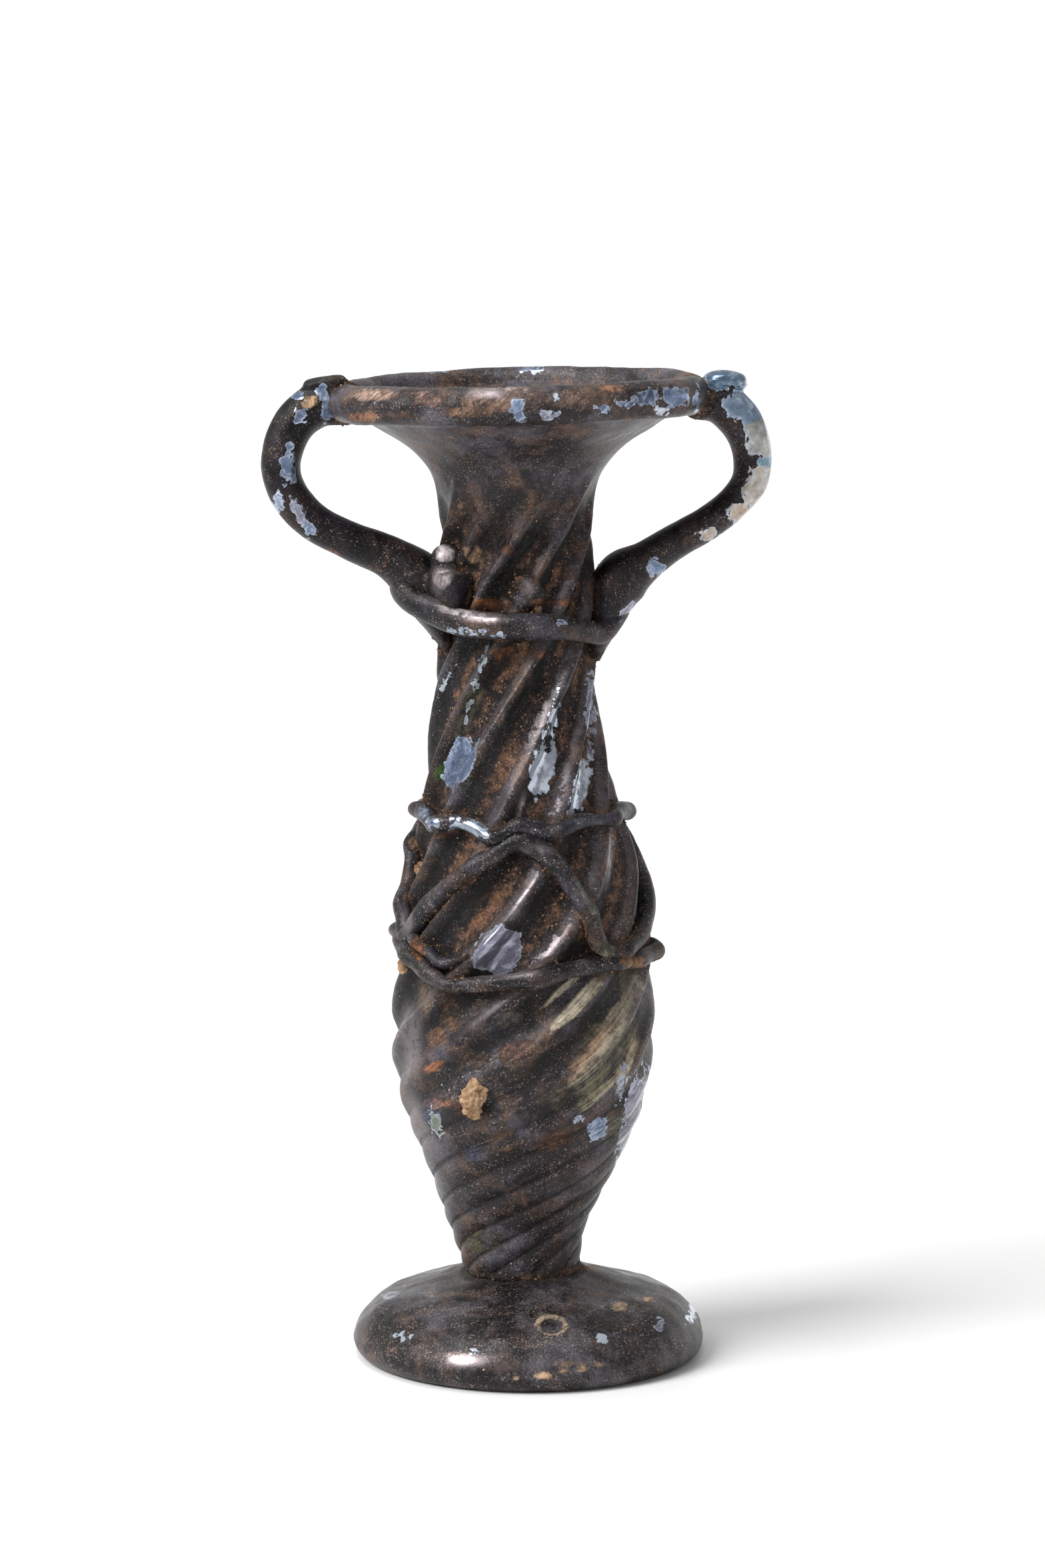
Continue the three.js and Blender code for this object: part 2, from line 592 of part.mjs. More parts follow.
// Round the neck the trail is let flush into the outer side of both handles' tails
function tailRadius(handle, height) {
  const edges = rodSamples(handle, 80).flatMap(({ centre, along, halfThickness }) => {
    const across = new THREE.Vector3(along.z, 0, -along.x);
    return [1, -1].map((way) => centre.clone().addScaledVector(across, way * halfThickness));
  });
  const level = edges.filter((p) => Math.abs(p.z - height) < 0.8 && Math.abs(p.x) < ROLL_CENTRE_RADIUS);
  return Math.max(0, ...level.map((p) => Math.abs(p.x - valueAt(WANDER_PAIRS, height))));
}
const overLeft = nearAny([-90], 48);
const overRight = nearAny([90], 42);
function neckSeat(angle, height) {
  const degrees = THREE.MathUtils.radToDeg(angle);
  const bare = wallSeat(angle, height);
  const depth = NECK_TRAIL_HEIGHT + 2 * JOINT_GAP;
  const left = lerp(bare, tailRadius(LEFT, height) - depth, overLeft(degrees));
  const right = lerp(bare, tailRadius(RIGHT, height) - depth, overRight(degrees));
  return Math.max(bare, left, right);
}
const fullerAtLeft = nearAny([-35], 90);

const neckTrail = (growth = 0) => thread(NECK_PATH, NECK_TRAIL_WIDTH, NECK_TRAIL_HEIGHT, 60, {
  growth,
  seat: neckSeat,
  swell: (degrees) => lerp(0.9, 1.15, fullerAtLeft(degrees)),
});

const upperTrail = (growth = 0) => thread(UPPER_PATH, UPPER_TRAIL_WIDTH, TRAIL_HEIGHT, 72, { growth });
const lowerTrail = (growth = 0) => thread(LOWER_PATH, LOWER_TRAIL_WIDTH, TRAIL_HEIGHT, 64, { growth });
const zigzagTrail = () => thread(zigzagPath(), ZIGZAG_TRAIL_WIDTH, TRAIL_HEIGHT, 100);
function threadEnd() {
  const path = THREAD_END.map(([angle, rise]) => [angle, lowerHeight(angle) + rise]);
  return thread(path, THREAD_END_WIDTH, THREAD_END_WIDTH, 16, {
    isLoop: false,
    swell: (degrees) => lerp(1, 0.35, smoothstep(degrees, -38, -26)),
  });
}

// Assembly.

const glass = (colour, roughness, metalness = 0.1) =>
  new THREE.MeshStandardMaterial({ color: colour, roughness, metalness });
const weathered = glass(0x3b3234, 0.5);
const dark = glass(0x33302f, 0.45);
const flaked = glass(0x5a5c64, 0.4);
const trailGlass = glass(0x2f3038, 0.3, 0.2);

const group = new THREE.Group();
function piece(name, geometry, material) {
  const mesh = new THREE.Mesh(geometry, material);
  mesh.name = name;
  group.add(mesh);
  return mesh;
}

const filledVessel = toSolid(solidFromRings(outerRings(JOINT_GAP, 105)));
const grownNeckTrail = toSolid(neckTrail(JOINT_GAP));
const seated = (...solids) => {
  const joined = solids.reduce((whole, solid) => whole.add(solid));
  return toGeometry(joined.subtract(filledVessel).subtract(grownNeckTrail));
};

piece("pad_foot", footGeometry(), dark);
piece("vessel", solidFromRings([...outerRings(), ...innerRings()]), weathered);
piece("left_handle", seated(rodSolid(LEFT), leftTongue(), leftPad(), leftBoss()), dark);
piece("right_handle", seated(rodSolid(RIGHT), rightFold()), flaked);
piece("neck_trail", neckTrail(), trailGlass);
piece("upper_trail", upperTrail(), trailGlass);
piece("lower_trail", lowerTrail(), trailGlass);
const zigzag = toSolid(zigzagTrail())
  .add(toSolid(threadEnd()))
  .subtract(toSolid(upperTrail(JOINT_GAP)))
  .subtract(toSolid(lowerTrail(JOINT_GAP)));
piece("zigzag_trail", toGeometry(zigzag), trailGlass);

export default group;
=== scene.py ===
# A two-handled glass balsamarium, ribbed and twisted, standing on its pad foot: buried glass with a
# dark weathered skin that has flaked away here and there, and soil still caught in its grooves.
# Shapes are worked out in millimetres, in the frame of the CAD, and turned to metres as each mesh
# is built. The front is the side that the photograph shows, -Y, and angles run from it towards +X.
import math
import bpy
import numpy as np
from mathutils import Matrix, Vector, noise
from mathutils.kdtree import KDTree


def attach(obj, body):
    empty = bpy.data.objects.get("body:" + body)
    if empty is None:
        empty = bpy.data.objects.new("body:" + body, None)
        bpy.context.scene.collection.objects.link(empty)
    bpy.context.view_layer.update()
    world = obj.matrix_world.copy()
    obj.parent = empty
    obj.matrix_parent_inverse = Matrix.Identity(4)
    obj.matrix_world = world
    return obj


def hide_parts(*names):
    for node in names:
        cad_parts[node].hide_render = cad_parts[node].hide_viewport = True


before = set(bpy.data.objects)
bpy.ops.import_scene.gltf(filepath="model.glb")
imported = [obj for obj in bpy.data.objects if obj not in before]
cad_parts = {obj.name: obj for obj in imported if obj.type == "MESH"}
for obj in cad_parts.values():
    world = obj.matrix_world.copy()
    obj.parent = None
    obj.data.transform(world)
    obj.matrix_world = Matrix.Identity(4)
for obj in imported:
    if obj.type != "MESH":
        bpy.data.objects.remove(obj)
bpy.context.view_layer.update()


# THE CAMERA
# A long lens a little above the mouth, looking slightly down. Its place and its tilt were fitted to
# the outlines of the foot and of the rim.
PHOTO_HEIGHT = 2353
FOCAL_PIXELS = 6667
CAMERA_PLACE = np.array([-0.95, -672.0, 176.2])
CAMERA_TILT = 7.44
camera_data = bpy.data.cameras.new("photo_camera")
camera_data.sensor_fit = "VERTICAL"
camera_data.sensor_height = 36
camera_data.lens = FOCAL_PIXELS / PHOTO_HEIGHT * camera_data.sensor_height
camera_data.clip_start = 0.05
camera = bpy.data.objects.new("photo_camera", camera_data)
camera.location = CAMERA_PLACE / 1000
camera.rotation_euler = (math.radians(90 - CAMERA_TILT), 0, 0)
bpy.context.collection.objects.link(camera)
bpy.context.scene.camera = camera


# THE VESSEL
# Blown into a ribbed mould, drawn out and twisted while hot, most of all near the foot, then opened
# into a flare whose lip is rolled over. The wall is some two millimetres thick, smooth inside.
# Radii are to the middle of the ribs, and heights are above the table.
MM = 0.001
GAP = 0.35
FOOT_TOP = 12.6
STEM_RADIUS, BELLY_RADIUS, NECK_RADIUS, RIM_RADIUS = 8.8, 19.6, 10.9, 28.8
STEM_HEIGHT, BELLY_HEIGHT, NECK_HEIGHT, TOTAL_HEIGHT = FOOT_TOP + GAP, 48, 120, 150
ROLL_RADIUS = 2.9
ROLL_CENTRE_RADIUS, ROLL_CENTRE_HEIGHT = RIM_RADIUS - ROLL_RADIUS, TOTAL_HEIGHT - ROLL_RADIUS
WALL, FLOOR = 2.675, 3
# The rim rises by these shares of the way towards +X and towards the back
RIM_TILT, RIM_LEAN = 0.026, 0.034
RIB_COUNT, RIB_HEIGHT = 10, 1.35
BOSS_DEGREES, BOSS_HEIGHT, BOSS_RADIUS = 6.7, 118.9, 1.7
WALL_SIDES, OUTSIDE_STEP, INSIDE_STEP = 244, 0.5, 1.4


def smooth_line(rows, per_span):
    """Points along a centripetal Catmull-Rom curve through rows of numbers."""
    rows = np.asarray(rows, float)
    rows = np.vstack([2 * rows[0] - rows[1], rows, 2 * rows[-1] - rows[-2]])
    line = []
    for a, b, c, d in zip(rows, rows[1:], rows[2:], rows[3:]):
        ab, bc, cd = (np.linalg.norm(q - p) ** 0.5 for p, q in ((a, b), (b, c), (c, d)))
        leave = bc * ((b - a) / ab - (c - a) / (ab + bc) + (c - b) / bc)
        arrive = bc * ((c - b) / bc - (d - b) / (bc + cd) + (d - c) / cd)
        for t in np.arange(per_span) / per_span:
            line.append(b + leave * t + (3 * c - 3 * b - 2 * leave - arrive) * t ** 2
                        + (2 * b - 2 * c + leave + arrive) * t ** 3)
    return np.array(line + [rows[-2]])


def evenly(line, step):
    """The same line with its points an even step apart, as near as its length allows."""
    lengths = np.concatenate([[0], np.cumsum(np.linalg.norm(np.diff(line, axis=0), axis=1))])
    places = np.linspace(0, lengths[-1], max(2, round(lengths[-1] / step) + 1))
    return np.stack([np.interp(places, lengths, column) for column in line.T], axis=1)


def ease(x, low, high):
    """0 below low, 1 above high, and a smooth rise between them."""
    t = np.clip((np.asarray(x, float) - low) / (high - low), 0, 1)
    return t * t * (3 - 2 * t)


def between(low, high, shares):
    """Shares of the way from low to high."""
    return low + (high - low) * np.asarray(shares, float)


# Half the wall's outline, as shares of the way between stem, belly, neck and lip: [up, out]
SWELL = np.array([(0, 0), (0.17, 0.12), (0.35, 0.34), (0.55, 0.63), (0.75, 0.88), (1, 1)])
TAPER = np.array([(0.14, 0.06), (0.28, 0.19), (0.39, 0.34), (0.5, 0.57), (0.61, 0.74),
                  (0.72, 0.885), (0.86, 0.98), (1, 1)])
FLARE = np.array([(0.28, 0.0), (0.48, 0.05), (0.64, 0.17), (0.77, 0.38), (0.89, 0.73), (0.97, 1)])
outline = smooth_line(np.vstack([
    np.stack([between(STEM_RADIUS, BELLY_RADIUS, SWELL[:, 1]),
              between(STEM_HEIGHT, BELLY_HEIGHT, SWELL[:, 0])], axis=1),
    np.stack([between(BELLY_RADIUS, NECK_RADIUS, TAPER[:, 1]),
              between(BELLY_HEIGHT, NECK_HEIGHT, TAPER[:, 0])], axis=1),
    np.stack([between(NECK_RADIUS, ROLL_CENTRE_RADIUS - ROLL_RADIUS / 2, FLARE[:, 1]),
              between(NECK_HEIGHT, ROLL_CENTRE_HEIGHT - ROLL_RADIUS / 2, FLARE[:, 0])], axis=1),
]), 24)
# How far the hand-blown wall wanders off the foot's axis: [height, shift along X]
wander = smooth_line([
    (0.08 * TOTAL_HEIGHT, -0.8), (0.135 * TOTAL_HEIGHT, -1.8), (0.2 * TOTAL_HEIGHT, -1.0),
    (0.34 * TOTAL_HEIGHT, -0.95), (0.5 * TOTAL_HEIGHT, -0.5), (0.59 * TOTAL_HEIGHT, -1.5),
    (0.67 * TOTAL_HEIGHT, -2.1), (0.75 * TOTAL_HEIGHT, -1.7), (0.84 * TOTAL_HEIGHT, -1.95),
    (TOTAL_HEIGHT, -1.45),
], 12)
# The twist of the ribs: [share of the way from the stem to the rim, degrees turned]
turned = smooth_line([
    (between(STEM_HEIGHT, TOTAL_HEIGHT, share), degrees) for share, degrees in (
        (0, -381), (0.089, -264), (0.154, -197), (0.213, -143), (0.321, -82),
        (0.47, -27), (0.566, 0), (0.77, 80), (0.89, 134), (1, 165))
], 20)


def outline_radius(height):
    """From the wall's own axis to the middle of its ribs."""
    return np.interp(height, outline[:, 1], outline[:, 0])


def shift(height):
    """How far along X the wall's own axis is at a height."""
    return np.interp(height, wander[:, 0], wander[:, 1])


def twist(height):
    """How far the ribs have turned at a height, in radians."""
    return np.radians(np.interp(height, turned[:, 0], turned[:, 1]))


def rib_strength(height):
    """The ribs are low near the foot, tall above the belly, and fade out into the flare."""
    last, gone = between(NECK_HEIGHT, TOTAL_HEIGHT, 0.15), between(NECK_HEIGHT, TOTAL_HEIGHT, 0.6)
    return (0.25 + 1.2 * ease(height, 32, 64)) * (1 - ease(height, last, gone))


def crest(angle, height):
    """1 on the crest of a rib and 0 in the middle of a groove."""
    return (1 + np.cos(RIB_COUNT * (angle - twist(height)))) / 2


def rib_sharpness(height):
    """Broad ribs with narrow creases low down, and narrow ones with wide grooves higher up."""
    return 0.5 + 0.9 * ease(height, 36, 52) + 1.5 * ease(height, 52, 68)


def wall_radius(angle, height):
    """From the wall's own axis to its ribbed surface."""
    rib = RIB_HEIGHT * rib_strength(height) * (crest(angle, height) ** rib_sharpness(height) - 0.5)
    return outline_radius(height) + rib


def place(radius, angle, height):
    """A point by radius, angle from the front towards +X, and height, on the wandering axis."""
    x = radius * np.sin(angle)
    tilt = RIM_TILT * ease(height, NECK_HEIGHT, TOTAL_HEIGHT) * x
    return np.stack([x + shift(height), -radius * np.cos(angle), height + tilt], axis=-1)


def add(tree, kind, inputs=None, out=0, **settings):
    """Adds a node, sets or links its inputs, and gives one of its outputs."""
    node = tree.nodes.new(kind)
    for name, value in settings.items():
        setattr(node, name, value)
    for name, value in (inputs or {}).items():
        if isinstance(value, bpy.types.NodeSocket):
            tree.links.new(value, node.inputs[name])
        else:
            node.inputs[name].default_value = value
    return node.outputs[out] if len(node.outputs) else node


def new_tree(name, sizes):
    """A Geometry Nodes tree with a geometry input and the named sizes, and its input sockets."""
    tree = bpy.data.node_groups.new(name, "GeometryNodeTree")
    tree.is_modifier = True
    tree.interface.new_socket("Geometry", in_out="INPUT", socket_type="NodeSocketGeometry")
    for label, kind in sizes:
        tree.interface.new_socket(label, in_out="INPUT", socket_type="NodeSocket" + kind)
    tree.interface.new_socket("Geometry", in_out="OUTPUT", socket_type="NodeSocketGeometry")
    return tree, tree.nodes.new("NodeGroupInput").outputs


def close_tree(tree, geometry, material):
    """Ends a tree in Realize Instances and Set Material."""
    real = add(tree, "GeometryNodeRealizeInstances", {0: geometry})
    done = add(tree, "GeometryNodeSetMaterial", {"Geometry": real, "Material": material})
    tree.links.new(done, tree.nodes.new("NodeGroupOutput").inputs[0])


def new_mesh(name, points, edges=(), faces=()):
    """A mesh object from points in millimetres."""
    mesh = bpy.data.meshes.new(name)
    mesh.from_pydata((np.asarray(points) * MM).tolist(), edges, faces)
    piece = bpy.data.objects.new(name, mesh)
    bpy.context.collection.objects.link(piece)
    return piece


def settle(piece):
    """Turns a piece with modifiers into the plain mesh that they give."""
    graph = bpy.context.evaluated_depsgraph_get()
    mesh = bpy.data.meshes.new_from_object(piece.evaluated_get(graph))
    piece.modifiers.clear()
    piece.data = mesh
    return piece


def grown(piece, tree, sizes):
    """Runs a tree over a piece with the sizes given by name, and keeps the result as its mesh."""
    modifier = piece.modifiers.new(tree.name, "NODES")
    modifier.node_group = tree
    for item in tree.interface.items_tree:
        if item.in_out == "INPUT" and item.name in sizes:
            modifier[item.identifier] = sizes[item.name]
    return settle(piece)


def row_attribute(piece, name, values):
    """Stores a number or a vector at each point of a mesh."""
    values = np.asarray(values, float)
    kind, field = ("FLOAT_VECTOR", "vector") if values.ndim == 2 else ("FLOAT", "value")
    attribute = piece.data.attributes.new(name, kind, "POINT")
    attribute.data.foreach_set(field, values.ravel())


def rib_nodes(tree, angle, twisted, strength, ribs, high, sharp):
    """The height of the ribs at an angle, in nodes, as wall_radius has it."""
    away = add(tree, "ShaderNodeMath", {0: angle, 1: twisted}, operation="SUBTRACT")
    wave = add(tree, "ShaderNodeMath", {0: away, 1: ribs}, operation="MULTIPLY")
    cosine = add(tree, "ShaderNodeMath", {0: wave}, operation="COSINE")
    share = add(tree, "ShaderNodeMath", {0: cosine, 1: 0.5, 2: 0.5}, operation="MULTIPLY_ADD")
    peaked = add(tree, "ShaderNodeMath", {0: share, 1: sharp}, operation="POWER")
    centred = add(tree, "ShaderNodeMath", {0: peaked, 1: 0.5}, operation="SUBTRACT")
    tall = add(tree, "ShaderNodeMath", {0: centred, 1: high}, operation="MULTIPLY")
    return add(tree, "ShaderNodeMath", {0: tall, 1: strength}, operation="MULTIPLY")


def tube_nodes(tree, sides, cap):
    """A tube with a ring for each row of the input mesh: its geometry, and each of its points' row
    and turn round the tube."""
    rows = add(tree, "GeometryNodeAttributeDomainSize", {0: tree.nodes["Group Input"].outputs[0]})
    spans = add(tree, "ShaderNodeMath", {0: rows, 1: 1.0}, operation="SUBTRACT")
    tube = add(tree, "GeometryNodeMeshCylinder", {
        "Vertices": sides, "Side Segments": spans, "Radius": 1.0, "Depth": spans}, fill_type=cap)
    at = add(tree, "GeometryNodeInputPosition")
    parts = add(tree, "ShaderNodeSeparateXYZ", {0: at}).node.outputs
    half = add(tree, "ShaderNodeMath", {0: spans, 1: 0.5}, operation="MULTIPLY")
    row = add(tree, "ShaderNodeMath", {0: parts[2], 1: half}, operation="ADD")
    row = add(tree, "ShaderNodeMath", {0: row}, operation="ROUND")
    back = add(tree, "ShaderNodeMath", {0: parts[1], 1: -1.0}, operation="MULTIPLY")
    turn = add(tree, "ShaderNodeMath", {0: parts[0], 1: back}, operation="ARCTAN2")
    return tube, row, turn


def row_nodes(tree, row, name=None, kind="FLOAT_VECTOR"):
    """A row's position, or a value stored at it, for every point of its ring."""
    if name:
        value = add(tree, "GeometryNodeInputNamedAttribute", {"Name": name}, data_type=kind)
    else:
        value = add(tree, "GeometryNodeInputPosition")
    return add(tree, "GeometryNodeSampleIndex", {
        "Geometry": tree.nodes["Group Input"].outputs[0], "Value": value, "Index": row,
    }, data_type=kind, domain="POINT")


def uneven_nodes(tree, geometry, amount, size):
    """The slight unevenness of glass worked by hand, along the surface's normal."""
    per_metre = add(tree, "ShaderNodeMath", {0: 1.0, 1: size}, operation="DIVIDE")
    cloud = add(tree, "ShaderNodeTexNoise", {"Scale": per_metre, "Detail": 3.0})
    level = add(tree, "ShaderNodeMath", {0: cloud, 1: 0.5}, operation="SUBTRACT")
    push = add(tree, "ShaderNodeMath", {0: level, 1: amount}, operation="MULTIPLY")
    normal = add(tree, "GeometryNodeInputNormal")
    offset = add(tree, "ShaderNodeVectorMath", {0: normal, "Scale": push}, operation="SCALE")
    moved = add(tree, "GeometryNodeSetPosition", {"Geometry": geometry, "Offset": offset})
    return add(tree, "GeometryNodeSetShadeSmooth", {0: moved})


wall_tree, sizes = new_tree("blown_and_twisted_wall", [
    ("Sides", "Int"), ("Rib Count", "Int"), ("Rib Height", "Float"), ("Unevenness", "Float"),
    ("Unevenness Size", "Float"), ("Material", "Material")])
tube, row, turn = tube_nodes(wall_tree, sizes["Sides"], "NGON")
base = add(wall_tree, "ShaderNodeSeparateXYZ", {0: row_nodes(wall_tree, row)}).node.outputs
rule = add(wall_tree, "ShaderNodeSeparateXYZ", {0: row_nodes(wall_tree, row, "rule")}).node.outputs
tilt = row_nodes(wall_tree, row, "tilt", "FLOAT")
angle = add(wall_tree, "ShaderNodeMath", {0: turn, 1: rule[0]}, operation="ADD")
sharpness = row_nodes(wall_tree, row, "sharpness", "FLOAT")
rib = rib_nodes(wall_tree, angle, rule[0], rule[1], sizes["Rib Count"], sizes["Rib Height"],
                sharpness)
radius = add(wall_tree, "ShaderNodeMath", {0: base[0], 1: rib}, operation="ADD")
sine = add(wall_tree, "ShaderNodeMath", {0: angle}, operation="SINE")
cosine = add(wall_tree, "ShaderNodeMath", {0: angle}, operation="COSINE")
across = add(wall_tree, "ShaderNodeMath", {0: radius, 1: sine}, operation="MULTIPLY")
depth = add(wall_tree, "ShaderNodeMath", {0: radius, 1: cosine}, operation="MULTIPLY")
front = add(wall_tree, "ShaderNodeMath", {0: depth, 1: -1.0}, operation="MULTIPLY")
side = add(wall_tree, "ShaderNodeMath", {0: across, 1: rule[2]}, operation="ADD")
tilted = add(wall_tree, "ShaderNodeMath", {0: across, 1: tilt, 2: base[2]},
             operation="MULTIPLY_ADD")
spot = add(wall_tree, "ShaderNodeCombineXYZ", {0: side, 1: front, 2: tilted})
shaped = add(wall_tree, "GeometryNodeSetPosition", {"Geometry": tube, "Position": spot})
uneven = uneven_nodes(wall_tree, shaped, sizes["Unevenness"], sizes["Unevenness Size"])
close_tree(wall_tree, uneven, sizes["Material"])

# The half outline that the wall is spun from: up the outside, over the lip and down the inside
outside = evenly(outline, OUTSIDE_STEP)
roll_turns = np.radians(np.arange(-75, 166, 8))
roll = np.stack([ROLL_CENTRE_RADIUS + ROLL_RADIUS * np.cos(roll_turns),
                 ROLL_CENTRE_HEIGHT + ROLL_RADIUS * np.sin(roll_turns)], axis=1)
inside = evenly(outline, INSIDE_STEP)[::-1]
slope = np.gradient(inside, axis=0)
slope /= np.linalg.norm(slope, axis=1)[:, None]
inside = inside + WALL * np.stack([slope[:, 1], -slope[:, 0]], axis=1)
floor_height = STEM_HEIGHT + FLOOR
inside = inside[(inside[:, 1] < outline[-1, 1] - 1) & (inside[:, 1] > floor_height + 2)]
inside = inside[np.concatenate([[True], np.diff(inside[:, 1]) < 0])]
lowest = inside[-1, 0]
inside = np.vstack([inside, [(lowest * 0.8, floor_height + 0.6), (lowest * 0.5, floor_height)]])
spun = np.vstack([outside, roll, inside])
heights = spun[:, 1]
is_outside = np.arange(len(spun)) < len(outside)
lip_twist = twist(outline[-1, 1])
vessel = new_mesh("vessel_glass", [(r, 0, h) for r, h in spun])
row_attribute(vessel, "rule", np.stack([
    np.where(is_outside, twist(heights), lip_twist),
    np.where(is_outside, rib_strength(heights), 0),
    shift(heights) * MM], axis=1))
row_attribute(vessel, "sharpness", rib_sharpness(heights))
row_attribute(vessel, "tilt", RIM_TILT * ease(heights, NECK_HEIGHT, TOTAL_HEIGHT))
grown(vessel, wall_tree, {
    "Sides": WALL_SIDES, "Rib Count": RIB_COUNT, "Rib Height": RIB_HEIGHT * MM,
    "Unevenness": 0.9 * MM, "Unevenness Size": 9 * MM})


def srgb(code):
    """A hex colour such as "8a6a4c" as linear red, green, blue and alpha."""
    channels = [int(code[i:i + 2], 16) / 255 for i in (0, 2, 4)]
    linear = [c / 12.92 if c <= 0.04045 else ((c + 0.055) / 1.055) ** 2.4 for c in channels]
    return (*linear, 1.0)


def read_points(piece, what="co"):
    """A mesh's points in millimetres, or its normals."""
    values = np.empty(len(piece.data.vertices) * 3, np.float32)
    if what == "co":
        piece.data.vertices.foreach_get("co", values)
        return values.reshape(-1, 3).astype(float) / MM
    piece.data.vertex_normals.foreach_get("vector", values)
    return values.reshape(-1, 3).astype(float)


def cloud(points, size, seed=0.0, octaves=3):
    """Smooth noise between about -1 and 1 at each point, for features of a size in millimetres."""
    offset = Vector((seed, -seed, seed * 0.5))
    return np.array([noise.fractal(Vector(p) / size + offset, 1.0, 2.0, octaves) for p in points])


def push_out(piece, distances):
    """Moves each point of a mesh along its normal, by distances in millimetres."""
    moved = read_points(piece) + read_points(piece, "normal") * np.asarray(distances)[:, None]
    piece.data.vertices.foreach_set("co", (moved * MM).ravel())
    piece.data.update()


def smooth_shaded(piece):
    """Shades a mesh as one smooth surface."""
    piece.data.polygons.foreach_set("use_smooth", [True] * len(piece.data.polygons))


# The back of the mouth stands a little higher than the front
points = read_points(vessel)
behind = np.maximum(points[:, 1], 0)
points[:, 2] += RIM_LEAN * behind * ease(points[:, 2], NECK_HEIGHT, TOTAL_HEIGHT)
vessel.data.vertices.foreach_set("co", (points * MM).ravel())
vessel.data.update()

# A bubble that burst at the front of the neck left a flat place there, with a raised ring on it and
# a shallow dish in the ring
boss = place(outline_radius(BOSS_HEIGHT) + 0.3, math.radians(BOSS_DEGREES), BOSS_HEIGHT)
points = read_points(vessel)
away = np.linalg.norm(points - boss, axis=1)
reach = np.hypot(points[:, 0] - shift(points[:, 2]), points[:, 1])
flat_place = (outline_radius(points[:, 2]) + 0.95 - reach) * ease(away, 2.5, 1.9)
raised_ring = 0.42 * np.exp(-((away - BOSS_RADIUS) / 0.3) ** 2)
dish = 0.3 * ease(away, 1.3, 0.6)
push_out(vessel, flat_place + raised_ring - dish)

# The finish: soda-lime glass that has lain in the ground. Its skin has gone brown-black and dull
# with a faint metallic sheen, and where flakes of it are lost the layer below is smooth and blue.
# Each piece carries what its own surface shows as values at its points:
# flake, how far inside a lost flake the point is in millimetres, and flake_colour
# a stain's colour and its strength, which also carries a few painted highlights
# wear, which also paints rubbed places paler as a highlight, painted shade in creases, on the ribs'
# lee sides and where pieces meet, and soil, each from 0 to about 1
# flow, the place that patterns are read at where they follow how the glass was drawn
BLUE, LAVENDER, SILVER, PALE = "65728c", "7b7888", "b4bbc7", "c3cad7"
CREAM, OLIVE, TAN, RUST = "a39883", "555141", "a5876c", "64402f"


